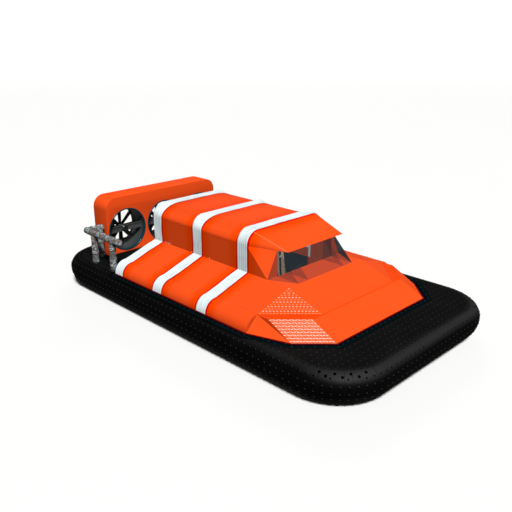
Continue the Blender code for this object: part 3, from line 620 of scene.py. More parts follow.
# %% Materials: enamels and plastics
def enamel(name, colour, wear_and_highlight, roughness, coat=0.4):
    material, tree, shader, place = start_material(name, colour, roughness, IOR=1.5,
                                                   Coat_Weight=coat, Coat_Roughness=0.15)
    wear = add_node(tree, "TexNoise", {"Vector": place, "Scale": 6.0, "Detail": 5.0})
    share = add_node(tree, "MapRange", {"Value": wear, "From Min": 0.5, "From Max": 0.75})
    shade = add_node(tree, "Mix", {"Factor": share, COLOUR_A: srgb(colour), COLOUR_B: srgb(wear_and_highlight)},
                     COLOUR_OUT, data_type="RGBA")
    tree.links.new(shade, shader.inputs["Base Color"])
    peel = add_node(tree, "TexNoise", {"Vector": place, "Scale": 140.0})
    relief = add_node(tree, "Bump", {"Height": peel, "Strength": 0.2, "Distance": 0.0005})
    tree.links.new(relief, shader.inputs["Normal"])
    return material


DUCT_ENAMEL = enamel("grey_duct_enamel", "#3C3F40", "#4A4D4E", 0.34)
LIP_ENAMEL = enamel("blue_black_lip_enamel", "#01343E", "#084450", 0.30)
BEAM_ENAMEL = enamel("grey_beam_enamel", "#3E3F40", "#4A4B4C", 0.45)
BLADE_NYLON = enamel("glass_filled_nylon", "#0A0A0B", "#121213", 0.38)
MOULDED_BLACK = enamel("moulded_black_plastic", "#141516", "#1D1E1F", 0.55)
CAST_IRON = enamel("painted_cast_iron", "#2E3033", "#3C3A38", 0.60)
STAINLESS = start_material("stainless_bolt", "#9A9C9D", 0.30, Metallic=1.0)[0]
print("enamels and plastics made")

# %% [markdown]
# The pipe rail is galvanised steel. Zinc weathers to a dull mottle, so it has no metal's mirror left:
# soft cells give the blotches, a noise the brown stains, and thin rings are the rims of dried drops.
# Its check tape is a plain checker on the slant.

# %% Materials: weathered pipe, wire and check tape
def galvanised():
    """Zinc with pale and grey blotches, brown stains and the darker rims of dried drops."""
    material, tree, shader, place = start_material("weathered_galvanised_pipe", "#B8BCBC", 0.6)
    cells = add_node(tree, "TexVoronoi", {"Vector": place, "Scale": 14.0}, "Distance",
                     feature="SMOOTH_F1")
    blotch = add_node(tree, "MapRange", {"Value": cells, "From Min": 0.10, "From Max": 0.42})
    noise = add_node(tree, "TexNoise", {"Vector": place, "Scale": 9.0, "Detail": 7.0,
                                        "Roughness": 0.7})
    rust = add_node(tree, "MapRange", {"Value": noise, "From Min": 0.50, "From Max": 0.60})
    spots = add_node(tree, "TexVoronoi", {"Vector": place, "Scale": 11.0}, "Distance")
    rims = add_node(tree, "Math", {0: spots, 1: 0.30, 2: 0.045}, operation="COMPARE")
    shade = srgb("#CCD6D6")
    for share, colour in ((blotch, "#6C7274"), (rust, "#6A5044"), (rims, "#4A3C36")):
        shade = add_node(tree, "Mix", {"Factor": share, COLOUR_A: shade, COLOUR_B: srgb(colour)},
                         COLOUR_OUT, data_type="RGBA")
    tree.links.new(shade, shader.inputs["Base Color"])
    relief = add_node(tree, "Bump", {"Height": noise, "Strength": 0.6, "Distance": 0.003})
    tree.links.new(relief, shader.inputs["Normal"])
    return material


GALVANISED = galvanised()
WIRE = enamel("brown_binding_wire", "#1E1512", "#4A342A", 0.6, 0)
CHECK_CELL = 0.020  # m


def check_tape():
    """Black and white check, laid on the slant."""
    material, tree, shader, place = start_material("check_tape", "#B8B8B8", 0.6)
    slanted = add_node(tree, "Mapping", {"Vector": place,
                                         "Rotation": (math.radians(45), math.radians(35), 0.0)})
    check = add_node(tree, "TexChecker", {"Vector": slanted, "Scale": 1 / CHECK_CELL,
                                          "Color1": srgb("#C4CACA"), "Color2": srgb("#140E0C")})
    tree.links.new(check, shader.inputs["Base Color"])
    return material


CHECK_TAPE = check_tape()
print("check cells", CHECK_CELL * 1000, "mm wide")

# %% [markdown]
# The rest are made by the recipes above: the dark red, navy and teal of the painted shade round the
# hull's foot, whose red also serves the dial needles, gritty paint and overpainted rivets. The windows
# are grey tinted polycarbonate, about a quarter opaque, which is how much of what lies behind them they
# hide.

# %% Materials: painted foot shade, paints and panes
# painted shade round the hull's foot, darkest near the hull: dark red, navy, teal and its edge; the red
# also colours the dial needles
RED_FOOT_SHADE_AND_NEEDLES = black_rubber("red_foot_shade_and_needles", "#5A0400", "#700600", 0.6, 0.05)
NAVY_FOOT_SHADE = black_rubber("navy_painted_foot_shade", "#00000C", "#010114", 0.7, 0.03)
TEAL_FOOT_SHADE = black_rubber("teal_painted_foot_shade", "#000E10", "#001416", 0.7, 0.03)
FOOT_SHADE_EDGE = black_rubber("edge_of_painted_foot_shade", "#040A0B", "#080E0F", 0.7, 0.03)
# studs within the painted teal shade are tinted teal too
TEAL_SHADE_STUD = enamel("stud_in_painted_teal_shade", "#042A2E", "#083438", 0.6, 0)
GRIP_PAINT = enamel("gritty_grip_paint", "#FFC0AE", "#FFA68C", 0.8, 0)
THIN_PAINT = enamel("thin_grip_paint", "#FF9474", "#F4683C", 0.8, 0)
RIVET_PAINT = enamel("overpainted_rivets", "#8A2A0A", "#6A1E06", 0.6, 0)

GLAZING = start_material("grey_tinted_polycarbonate", "#2A3236", 0.10, IOR=1.58, Alpha=0.24,
                         Specular_IOR_Level=0.1)[0]
TEAL_PANE = start_material("teal_filmed_polycarbonate", "#1C4C4C", 0.10, IOR=1.58, Alpha=0.75,
                           Specular_IOR_Level=0.1)[0]
TEAL_TRIM = enamel("dark_teal_lining", "#00403E", "#0A4A48", 0.60)
print("tapes, paints and panes made")

# %% [markdown]
# The floor is a wide pale disc whose rim sweeps up far away into a backdrop, so that no horizon shows.
# It is one circle, extruded edge by edge, and it isn't part of the craft.

# %% The studio floor
FLOOR_RADIUS = 60.0
BACKDROP = ((75.0, 1.0), (92.0, 5.0), (108.0, 14.0), (118.0, 28.0), (122.0, 50.0))


def studio_floor():
    clear_selection()
    bpy.ops.mesh.primitive_circle_add(vertices=96, radius=FLOOR_RADIUS, fill_type="NGON")
    floor = bpy.context.object
    whole(floor)
    bpy.ops.mesh.select_all(action="DESELECT")
    bpy.ops.mesh.select_non_manifold()
    radius, height = FLOOR_RADIUS, 0.0
    for wider, higher in BACKDROP:
        bpy.ops.mesh.extrude_edges_move(TRANSFORM_OT_translate={"value": (0, 0, higher - height)})
        bpy.ops.transform.resize(value=(wider / radius, wider / radius, 1))
        radius, height = wider, higher
    bpy.ops.object.mode_set(mode="OBJECT")
    bpy.ops.object.shade_smooth()
    floor.name = floor.data.name = "studio_floor"
    floor.data.materials.append(start_material("pale_studio_paper", "#F0F0EE", 0.9)[0])
    floor.visible_diffuse = False
    floor.visible_glossy = False


studio_floor()
print("floor", FLOOR_RADIUS, "m flat, then up to", BACKDROP[-1][1], "m")

# %% [markdown]
# Hull panels are drawn as an outline, as a boatbuilder draws a section on the loft floor, and then
# extruded. A spin of the same outline makes the round parts. Both leave a closed body.

# %% Outlines, extruded and turned
ROUND_STEPS = 24  # facets in a quarter turn


def arc(centre, radius, start, end, steps=ROUND_STEPS):
    """Points of an arc in degrees, both ends included."""
    turns = [math.radians(start + (end - start) * step / steps) for step in range(steps + 1)]
    return [(centre[0] + radius * math.cos(t), centre[1] + radius * math.sin(t)) for t in turns]


def mirrored(line):
    """Complete a half line that starts at port and ends near the middle."""
    return line + [(-x, z) for x, z in reversed(line)]


def extruded(outline, start, end, plane="xz"):
    """One face drawn from an outline, extruded along the third axis."""
    along = {"xz": 1, "yz": 0, "xy": 2}[plane]
    points = [(*pair[:along], start, *pair[along:]) for pair in outline]
    thing = mesh_piece(points, [tuple(range(len(points)))])
    whole(thing)
    run = [0.0, 0.0, 0.0]
    run[along] = end - start
    bpy.ops.mesh.extrude_region_move(TRANSFORM_OT_translate={"value": run})
    return outward(thing)


def lofted(sections):
    """A closed body through outlines of the same count, each one a (y, outline in XZ) pair."""
    count = len(sections[0][1])
    points = [(x, y, z) for y, outline in sections for x, z in outline]
    faces = [tuple(range(count)), tuple(range(len(points) - count, len(points)))]
    for start in range(0, len(points) - count, count):
        for index in range(count):
            here, after = start + index, start + (index + 1) % count
            faces.append((here, after, after + count, here + count))
    return outward(mesh_piece(points, faces))


def turned(profile, centre, steps=96):
    """A closed profile of (radius, distance aft) spun round a fore-and-aft axis."""
    thing = loop_to_spin([(centre[0] + radius, centre[1] + back, centre[2])
                          for radius, back in profile])
    bpy.ops.mesh.spin(steps=steps, angle=2 * math.pi, center=centre, axis=(0, 1, 0))
    return outward(thing)


print("outline helpers ready")

# %% [markdown]
# The foredeck, the cabin walls, the visor and the pillars are flat facets, as plywood or foam panels
# give. Their solids have the right shape already, so each is copied, its triangles are merged into
# whole faces, and its edges are eased by a few millimetres, as a moulding's are.

# %% Facetted hull panels
EASED = {
    "bow_deck": 0.003,
    "cabin_wall_port": 0.002,
    "cabin_wall_starboard": 0.002,
    "visor": 0.002,
    "pillar_port": 0.0015,
    "pillar_starboard": 0.0015,
    "dash_shelf": 0.003,
}
for node, bevel in EASED.items():
    keep(soften(carried_copy(node), bevel, angle=5), node + "_panel", "craft", GELCOAT,
         [node], angle=1)
print(len(EASED), "facetted panels")

# %% [markdown]
# The side decks and the roof are the panels with a round edge. Each is its real section, with the
# quarter round drawn in fine steps, extruded to its length. The roof is a shell 40 mm thick, so its
# section has an inner line too. A narrow seam is left open at the eaves and filled by a dark gasket.

# %% Side decks and roof
SIDE_DECK = arc((7, 0), 1, 0, 90) + [(4, 2)]
EAVES = at(0, 0, 4).z
ROOF_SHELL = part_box("cabin_wall_port")[1].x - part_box("cabin_wall_port")[0].x
SEAM = 0.004
CABIN_ENDS = (at(0, 9, 0).y, at(0, 20, 0).y)
BROW_EDGE, PANEL_EDGE = 3, 2  # frames from the middle to where the roof is flat


def roof_edge(edge, inset=0.0, start=0.0, steps=ROUND_STEPS):
    """A quarter ellipse from the eaves to the flat roof, moved in by inset, in metres."""
    across, up = (4 - edge) * FRAME - inset, FRAME - inset
    return [(edge * FRAME + across * x, EAVES + GAP + up * z)
            for x, z in arc((0, 0), 1, start, 90, steps)]


for side, name in ((1, "port"), (-1, "starboard")):
    line = [(across * FRAME, DECK + up * FRAME) for across, up in SIDE_DECK]
    line[0] = (line[0][0], DECK + GAP)
    line += [(4 * FRAME + GAP, line[-1][1]), (4 * FRAME + GAP, DECK + GAP)]
    deck = extruded([(side * x, z) for x, z in line], at(0, 5, 0).y + GAP, CABIN_ENDS[1])
    keep(soften(deck, 0.0015, angle=40), "side_deck_" + name + "_panel", "craft", GELCOAT,
         ["side_deck_" + name], angle=12)


def roof_section(edge):
    """The roof's outer line, then its inner line back again."""
    open_seam = math.degrees(SEAM / FRAME)
    outside, inside = [mirrored(roof_edge(edge, inset, open_seam)) for inset in (0, ROOF_SHELL)]
    return outside + inside[::-1]


behind_band = at(0, 10, 0).y + 0.0025
roof = lofted([(y, roof_section(edge)) for y, edge in (
    (CABIN_ENDS[0] + 0.001, BROW_EDGE), (behind_band, BROW_EDGE),
    (behind_band + 0.04, PANEL_EDGE), (CABIN_ENDS[1], PANEL_EDGE))])
keep(soften(roof, 0.0015, angle=40), "cabin_roof_shell", "craft", GELCOAT,
     ["cabin_roof"], angle=25)
GASKET_HALF, GASKET_IN = 0.024, 0.030  # half its width, and how far in from the wall it lies
gaskets = [block((x - GASKET_HALF, CABIN_ENDS[0] + 0.002, EAVES + GAP),
                 (x + GASKET_HALF, CABIN_ENDS[1] - 0.002, EAVES + SEAM))
           for x in (4 * FRAME - GASKET_IN, GASKET_IN - 4 * FRAME)]
keep(join(gaskets), "eaves_gasket", "craft", FOOT_RUBBER)
print("roof shell", round(ROOF_SHELL * 1000), "mm thick, seam", SEAM * 1000, "mm")

# %% [markdown]
# The skirt is an air bag: a long tube of coated cloth laced to the platform's edge. Its section is
# drawn once as a closed loop. The two end bags are that loop spun round one corner, extruded across
# the craft and spun round the other corner; the side bags are the loop extruded along the side.

# %% The skirt's bags
CORNER = 1.00  # plan radius of the skirt's corners
TOP_ROUND = 0.22
SIDE_ROUND = DECK - TOP_ROUND
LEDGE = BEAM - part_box("platform")[1].x
BAG_FOOT = 0.50
BAG_INSIDE = 0.80
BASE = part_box("platform")[0].z
CORNER_MIDDLE = Vector((BEAM - CORNER, STERN - CORNER, 0))


def bag_section():
    """(distance in from the side, height) round the bag, from the platform's top edge."""
    points = [(LEDGE - GAP, DECK)]
    points += arc((TOP_ROUND, DECK - TOP_ROUND), TOP_ROUND, 90, 180, 14)
    points += arc((SIDE_ROUND, SIDE_ROUND), SIDE_ROUND, 180, 270, 18)[1:]
    for step in range(1, 9):
        turn = math.radians(90 * step / 8)
        points.append((BAG_FOOT + (BAG_INSIDE - BAG_FOOT) * math.sin(turn),
                       (BASE - GAP) * (1 - math.cos(turn))))
    points.append((LEDGE - GAP, BASE - GAP))
    return points


def close_ends(thing):
    bpy.ops.mesh.select_all(action="SELECT")
    bpy.ops.mesh.fill_holes(sides=0)
    return outward(thing)


def end_bag(end):
    """The bag across one end: end is -1 at the bow and 1 at the stern."""
    middle = [Vector((side * CORNER_MIDDLE.x, end * CORNER_MIDDLE.y, 0)) for side in (1, -1)]
    bag = loop_to_spin([(BEAM - inward, middle[0].y, up) for inward, up in bag_section()])
    quarter = -end * math.pi / 2
    bpy.ops.mesh.spin(steps=30, angle=quarter, center=middle[0], axis=(0, 0, 1))
    bpy.ops.mesh.extrude_region_move(TRANSFORM_OT_translate={"value": middle[1] - middle[0]})
    bpy.ops.mesh.spin(steps=30, angle=quarter, center=middle[1], axis=(0, 0, 1))
    return close_ends(bag)


def side_bag(side):
    reach = CORNER_MIDDLE.y - GAP
    bag = loop_to_spin([(side * (BEAM - inward), -reach, up) for inward, up in bag_section()])
    bpy.ops.mesh.extrude_region_move(TRANSFORM_OT_translate={"value": (0, 2 * reach, 0)})
    return close_ends(bag)


for name, bag in (("skirt_front", end_bag(-1)), ("skirt_rear", end_bag(1)),
                  ("skirt_port", side_bag(1)), ("skirt_starboard", side_bag(-1))):
    print(name, [round(v, 2) for v in bag.bound_box[0]], [round(v, 2) for v in bag.bound_box[6]])
    keep(bag, name + "_bag", "craft", SKIRT_CLOTH, [name], angle=50)

# %% [markdown]
# Each hull joint is covered by a band of white webbing laid in folds from deck edge to deck edge.
# A real one is several plies thick and never quite flat, so it is made as a grid of points that is
# wrapped over the hull's outline: long folds run round the girth, wander a little from side to side and
# grow deeper and shallower. How deep a point lies in a fold is kept on the mesh, for the painted shade
# in the folds.

# %% Grids of points
def divided(start, end, pieces):
    """Points on a straight run, the last one left for the next run."""
    start, end = Vector(start), Vector(end)
    return [tuple(start.lerp(end, step / pieces)) for step in range(pieces)]


def mitres(line):
    """For each point of a flat line, the way out from it, longer at a corner."""
    result = []
    for index, here in enumerate(line):
        ways = []
        for first, second in ((index - 1, index), (index, index + 1)):
            if 0 <= first and second < len(line):
                run = Vector(line[second]) - Vector(line[first])
                ways.append(Vector((run.y, -run.x)).normalized())
        middle = sum(ways, Vector((0, 0))).normalized()
        result.append(middle / middle.dot(ways[0]))
    return result


def body_from_grids(top, under):
    """A closed plate between two grids of points of the same size."""
    rows, columns = top.shape[:2]
    count = rows * columns
    number = np.arange(count).reshape(rows, columns)
    faces = []
    for row in range(rows - 1):
        for column in range(columns - 1):
            ring = [number[row, column], number[row + 1, column],
                    number[row + 1, column + 1], number[row, column + 1]]
            faces += [ring, [corner + count for corner in reversed(ring)]]
    sides = number[0, :], number[1:, -1], number[-1, -2::-1], number[-2:0:-1, 0]
    rim = [corner for side in sides for corner in side]
    for index, corner in enumerate(rim):
        after = rim[(index + 1) % len(rim)]
        faces.append([corner, after, after + count, corner + count])
    points = np.concatenate([top.reshape(-1, 3), under.reshape(-1, 3)])
    return mesh_piece(points, [[int(corner) for corner in face] for face in faces])


print("grids ready")

# %% [markdown]
# The outline under the bands is drawn for the port half, up from the deck's edge, and mirrored.

# %% The hull's outline
def girth(edge):
    """The hull's outline from deck edge to deck edge, for one edge of the roof."""
    line = arc((7, 0), 1, 0, 84, 18)
    line += divided((7, 1), (4.1, 2 - 0.1 / 3), 22) + divided((4.1, 2 - 0.1 / 3), (4, 2), 1)
    line += divided((4, 2), (4, 2.1), 1) + divided((4, 2.1), (4, 4), 14)
    line = [(x * FRAME, DECK + z * FRAME) for x, z in line]
    crown = DECK + 5 * FRAME
    line += roof_edge(edge, 0, 0, 24)[:-1] + divided((edge * FRAME, crown), (0, crown), 20)
    return mirrored(line)


print(len(girth(PANEL_EDGE)), "points from deck edge to deck edge")

# %% [markdown]
# Each band now gets its folds, row by row round the outline. Its fore edge follows the roof's round
# shoulder and its aft edge stands proud of it, so the points rise from one outline to a squarer one.

# %% The white bands
BANDS = {"band_forward": 9, "band_middle": 14, "band_aft": 19}
BAND_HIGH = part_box("band_middle")[1].z - at(0, 0, 5).z
BAND_LOW = 0.0035  # thickness at the bottom of a fold
FOLDS = 5
ACROSS = 50  # points across a band
WANDER = 0.13  # of a fold, to either side
SWELL = 0.28  # of a fold's height, up and down
HEM = 0.035  # share of the width in which an edge comes down
RIPPLE = 0.0006  # m of fine waves between the folds


def white_band(name, fore, seed):
    """One band: folds wander with the distance round the girth, each band in its own way."""
    picker = random.Random(seed)
    waves = [(picker.uniform(0.6, 2.6), picker.uniform(0, 6.28)) for _ in range(6)]
    seat = girth(BROW_EDGE if fore == 9 else PANEL_EDGE)
    proud = girth(BROW_EDGE)
    seat_ways, proud_ways = mitres(seat), mitres(proud)
    lengths = np.cumsum([0.0] + [(Vector(b) - Vector(a)).length for a, b in zip(seat, seat[1:])])
    share = np.linspace(0, 1, ACROSS)
    top = np.zeros((len(seat), ACROSS, 3))
    under = np.zeros_like(top)
    depth = np.zeros((len(seat), ACROSS))
    rise = share ** 2 * (3 - 2 * share)
    for row, length in enumerate(lengths):
        wander = sum(math.sin(rate * length * 2 + start) for rate, start in waves[:3]) * WANDER
        swell = 1 - SWELL + SWELL * math.sin(waves[3][0] * length * 1.7 + waves[3][1])
        place = share * FOLDS + wander
        ridge = np.abs(np.sin(math.pi * place)) ** 0.7
        edge = np.clip(np.minimum(share, 1 - share) / HEM, 0, 1) ** 0.5
        height = BAND_LOW + (BAND_HIGH - BAND_LOW - 0.0008) * ridge * edge * swell
        height += RIPPLE * np.sin(9 * math.pi * place + length * 3)
        sides = [0.004 * math.sin(rate * length * 4 + start) for rate, start in waves[4:]]
        across = at(0, fore, 0).y + share * FRAME + sides[0] * (1 - share) + sides[1] * share
        for axis, column in ((0, 0), (1, 2)):
            low = seat[row][axis] + seat_ways[row][axis] * height
            high = proud[row][axis] + proud_ways[row][axis] * height
            top[row, :, column] = low * (1 - rise) + high * rise
            under[row, :, column] = seat[row][axis] + seat_ways[row][axis] * 2 * GAP
        top[row, :, 1] = under[row, :, 1] = across
        depth[row] = (1 - ridge * edge) * (1 - 0.5 * share)
    for grid in (top, under):
        grid[[0, -1], :, 2] = DECK + GAP
    band = body_from_grids(top, under)
    crease = band.data.attributes.new("crease", "FLOAT", "POINT")
    crease.data.foreach_set("value", np.concatenate([depth.ravel(), np.ones(depth.size)]))
    outward(band)
    return keep(band, name + "_webbing", "craft", WEBBING, [name], angle=40)


for seed, (name, fore) in enumerate(BANDS.items(), start=3):
    white_band(name, fore, seed)
print("bands up to", round(BAND_HIGH * 1000, 1), "mm high")

# %% [markdown]
# Small things that repeat, such as studs, rivets and stitches, are modelled once and laid out by a
# rule: each copy has a place, a way out from the surface and a way along it. Joining thousands of
# objects one by one would take minutes, so the copies' points are worked out together as one mesh.

# %% Many copies as one piece
def scattered(pattern, places):
    """Copies of a small piece, its +X turned along and its +Z turned out, as one mesh."""
    local = np.array([tuple(vertex.co) for vertex in pattern.data.vertices])
    rings = [list(face.vertices) for face in pattern.data.polygons]
    bpy.data.objects.remove(pattern)
    points, faces = [], []
    for index, (point, out, along) in enumerate(places):
        along = (along - out * along.dot(out)).normalized()
        turn = np.array([along, out.cross(along), out])
        points.append(local @ turn + np.array(point))
        faces += [[corner + index * len(local) for corner in ring] for ring in rings]
    return mesh_piece(np.concatenate(points), faces)


def button(radius, height, rise, sides=8):
    """A low round nub on the XY plane, its middle raised or dished."""
    clear_selection()
    bpy.ops.mesh.primitive_cone_add(vertices=sides, radius1=radius, radius2=radius * 0.86,
                                    depth=height + 0.001, location=(0, 0, height / 2 - 0.0005))
    return crown(settle(bpy.context.object), radius * 0.3, rise)


def dash(length, width, height):
    """A low bar along +X with sloping sides."""
    thing = block((-length / 2, -width / 2, -0.0005), (length / 2, width / 2, height * 0.4))
    return crown(thing, width * 0.28, height * 0.6)


def ribbon(line, width, height):
    """A closed strip with a low crown along (place, way out) pairs."""
    shares = np.array((-1, -0.55, 0, 0.55, 1))
    top, under = np.zeros((len(line), 5, 3)), np.zeros((len(line), 5, 3))
    for index, (point, out) in enumerate(line):
        before, after = line[max(index - 1, 0)][0], line[min(index + 1, len(line) - 1)][0]
        side = np.array((after - before).cross(out).normalized())
        base = np.array(point) + np.outer(shares * width / 2, side)
        top[index] = base + np.outer(height * (1 - 0.8 * shares ** 2), out)
        under[index] = base - np.array(out) * 0.0004
    return outward(body_from_grids(top, under))


print("small pieces ready")

# %% [markdown]
# The skirt and the deck are studded every 125 mm, so that a wet boot holds on them. A stud is a low
# eight-sided nub, lighter grey than the skin as a painted highlight, with a black disc let in beside it
# on the side away from the light: a painted shadow. On the flat deck they lie in a square lattice; on
# the round edge they follow it in rows. Each bow corner also has seven larger shallow eyes where the
# bag is drained, painted black inside as painted shade.

# %% Places on the skirt's skin
UP = Vector((0, 0, 1))


def skin(point):
    """The place on the deck or the skirt nearest to a point, and the way out there."""
    core = Vector((max(-CORNER_MIDDLE.x, min(CORNER_MIDDLE.x, point.x)),
                   max(-CORNER_MIDDLE.y, min(CORNER_MIDDLE.y, point.y)), 0))
    away = Vector((point.x - core.x, point.y - core.y, 0))
    if CORNER - away.length > TOP_ROUND and point.z > SIDE_ROUND:
        return Vector((point.x, point.y, DECK)), UP
    radius = TOP_ROUND if point.z > SIDE_ROUND else SIDE_ROUND
    middle = core + away.normalized() * (CORNER - radius) + UP * SIDE_ROUND
    out = (point - middle).normalized()
    return middle + out * radius, out


def down_edge(anchor, outward_way, run):
    """A place a run down the round edge below a point on the skirt's side line."""
    quarter = TOP_ROUND * math.pi / 2
    if run < 0:
        return anchor - outward_way * (TOP_ROUND - run) + UP * DECK, UP
    if run < quarter:
        radius, turn = TOP_ROUND, math.pi / 2 - run / TOP_ROUND
    else:
        radius, turn = SIDE_ROUND, (quarter - run) / SIDE_ROUND
    out = outward_way * math.cos(turn) + UP * math.sin(turn)
    return anchor - outward_way * radius + UP * SIDE_ROUND + out * radius, out


print("the round top edge runs", round(TOP_ROUND * math.pi / 2, 3), "m down the skin")

# %% [markdown]
# Rows of studs start from stations round the skirt, one every 125 mm along the straight sides and
# every 7.5 degrees round a corner.

# %% Stations round the skirt
STUD_PITCH = 0.125


def corner_station(turn):
    """A point on the side line at a corner, turn in degrees from +X, and the way out."""
    out = Vector((math.cos(math.radians(turn)), math.sin(math.radians(turn)), 0))
    middle = Vector((math.copysign(CORNER_MIDDLE.x, out.x), math.copysign(CORNER_MIDDLE.y, out.y), 0))
    return middle + out * CORNER, out


def side_station(side, y):
    """The same on a straight side: side is 1 at port."""
    return Vector((side * BEAM, y, 0)), Vector((side, 0, 0))


def end_station(end, x):
    """The same across an end: end is -1 at the bow."""
    return Vector((x, end * STERN, 0)), Vector((0, end, 0))


def stations_round():
    """Stations round the whole skirt, one for each column of studs."""
    stations = [corner_station(7.5 * (step + 0.5)) for step in range(48)]
    for way in (1, -1):
        stations += [side_station(way, (step - 23.5) * STUD_PITCH) for step in range(48)]
        stations += [end_station(way, (step - 9.5) * STUD_PITCH) for step in range(20)]
    return stations


def clear_by(foot, point):
    """How far a place on the deck lies outside a convex outline."""
    line = [at(across, aft, 0) for across, aft in foot]
    away = []
    for here, there in zip(line, line[1:] + line[:1]):
        run = (there - here).normalized()
        away.append((point.x - here.x) * run.y - (point.y - here.y) * run.x)
    return max(away)


print(len(stations_round()), "stations round the skirt")

# %% [markdown]
# On the deck the studs stand in a lattice from either end, and a place too near the hull, the housing
# or a rail foot stays bare. One button serves all: a stud's top is raised, that of a painted shadow
# disc or an eye let in.

# %% Studs, painted shadows and drain eyes
STUD_CLEAR = 0.03  # m between a stud and the hull or the housing
FOOT_CLEAR = 0.13  # m between a stud and the middle of a rail foot
EYE_CLEAR = 0.05  # m between a stud and a drain eye
TEAL_SHADE_WITHIN = 0.15  # m from the hull, where the studs lie in the painted teal shade
FIRST_ROW = STERN - 0.305  # of the lattice, from the middle of the craft
EDGE_ROWS = [0.04 + STUD_PITCH * row for row in range(7)]  # m down the round edge
FLAT_FROM = 0.24  # m in from the skirt's side
SHADOW_SIDE = Vector((0.33, 0.51, -0.79))  # from a stud to its painted shadow, away from the key light, before it is laid on the skin
SHADOW_AWAY = 0.024
HULL_FOOT = ((-8, 20), (-8, 5), (-7, 2), (-5, 0), (5, 0), (7, 2), (8, 5), (8, 20))
HOUSING_FOOT = ((-6, 26), (-6, 24), (6, 24), (6, 26))
RAIL_FEET = ((-7.64, 23.46), (-7.64, 20.78), (-6.50, 24.46))
EYE_RINGS = ((0.10, (21.5, 36, 51, 66)), (0.15, (28, 43, 58)))  # run down, degrees from the side
eyes = []
for run, turns in EYE_RINGS:
    for turn in turns:
        eyes += [down_edge(*corner_station(angle), run) for angle in (-turn, turn - 180)]

edge_studs = [down_edge(*station, run) for station in stations_round() for run in EDGE_ROWS]
edge_studs = [(point, out) for point, out in edge_studs
              if all((point - eye[0]).length > EYE_CLEAR for eye in eyes)]
deck_studs, studs_in_teal_shade = [], []
for end in (-1, 1):
    for row in range(16):
        for column in range(-16, 16):
            point = Vector(((column + 0.5) * STUD_PITCH, end * (FIRST_ROW - row * STUD_PITCH), DECK))
            beyond = Vector((max(0, abs(point.x) - CORNER_MIDDLE.x),
                             max(0, abs(point.y) - CORNER_MIDDLE.y))).length
            hull = clear_by(HULL_FOOT, point)
            feet = min((point - at(across, aft, 0)).length for across, aft in RAIL_FEET)
            if (CORNER - beyond > FLAT_FROM and hull > STUD_CLEAR and feet > FOOT_CLEAR
                    and clear_by(HOUSING_FOOT, point) > STUD_CLEAR):
                (studs_in_teal_shade if hull < TEAL_SHADE_WITHIN else deck_studs).append((point, UP))


def laid(places):
    """Each copy faces its painted shadow."""
    return [(point, out, SHADOW_SIDE) for point, out in places]


def shadows_beside(places):
    """Painted shadows lie on the skin just beside their studs, away from the light."""
    result = []
    for point, out in places:
        along = (SHADOW_SIDE - out * SHADOW_SIDE.dot(out)).normalized()
        result.append(skin(point + along * SHADOW_AWAY))
    return laid(result)


for name, nub, places, material in (
        ("skirt_studs", (0.013, 0.006, 0.0015), laid(edge_studs + deck_studs), HIGHLIGHT_STUD_RUBBER),
        ("foot_studs", (0.013, 0.006, 0.0015), laid(studs_in_teal_shade), TEAL_SHADE_STUD),
        ("stud_wells", (0.0155, 0.0010, -0.0007), shadows_beside(edge_studs + deck_studs + studs_in_teal_shade),
         PAINTED_SHADOW_BLACK),
        ("drain_eyes", (0.024, 0.0022, -0.0016, 16), laid(eyes), PAINTED_SHADOW_BLACK)):
    keep(scattered(button(*nub), places), name, "craft", material, angle=40)
print(len(edge_studs), "studs on the edge,", len(deck_studs) + len(studs_in_teal_shade), "on the deck")

# %% [markdown]
# The bag is sewn from panels of cloth. Their lapped seams run over the round edge about every half
# metre. At the bow a long one runs across the deck and another low on the side, and a repair panel is
# glued on in the middle. Where a white band comes down on the skirt, a thin black sheet lies under its
# end: a painted shadow.

# %% Seams and patches on the skirt
BOW_SEAMS = (-0.83, -0.73, -0.28, 0.22, 0.67, 0.76)
SEAM_WIDTH, SEAM_HIGH = 0.007, 0.0012


def seam_over(station):
    """A seam over the round edge, from the deck to low on the side."""
    line = [down_edge(*station, -0.02 + 0.64 * step / 26) for step in range(27)]
    return ribbon(line, SEAM_WIDTH, SEAM_HIGH)


def patch_on_skin(stations, runs, thick):
    """A plate on the skin, from stations along the side line and runs down the edge."""
    places = [[down_edge(*station, run) for station in stations] for run in runs]
    top = np.array([[point + out * thick for point, out in row] for row in places])
    under = np.array([[point + out * 0.0002 for point, out in row] for row in places])
    return outward(body_from_grids(top, under))


seams = [seam_over(end_station(-1, x)) for x in BOW_SEAMS]
seams += [seam_over(corner_station(turn - 90)) for turn in (-68, -45, -38, -14, 14, 38, 45, 68)]
seams += [seam_over(side_station(side, step * 0.5 - 2.75)) for side in (1, -1) for step in range(12)]
for run in (-0.30, 0.34):
    line = [down_edge(*end_station(-1, x), run) for x in np.linspace(-1.2, 1.2, 30)]
    seams.append(ribbon(line, SEAM_WIDTH, SEAM_HIGH))
keep(join(seams), "skirt_seams", "craft", DECK_RUBBER, angle=50)

repair = patch_on_skin([end_station(-1, x) for x in np.linspace(-0.28, 0.22, 12)],
                       np.linspace(-0.05, 0.36, 18), 0.0016)
keep(repair, "bow_repair_panel", "craft", SKIRT_CLOTH, angle=50)

# painted shadow: a black sheet under each band's end
band_end_shadows = []
for fore in BANDS.values():
    middle = at(0, fore + 0.5, 0).y
    for side in (1, -1):
        along = [side_station(side, y) for y in np.linspace(middle - 0.21, middle + 0.21, 12)]
        band_end_shadows.append(patch_on_skin(along, np.linspace(-0.03, 0.10, 8), 0.0022))
keep(join(band_end_shadows), "band_end_painted_shadows", "craft", PAINTED_SHADOW_BLACK, angle=50)
print(len(seams), "seams,", len(band_end_shadows), "chafe patches")

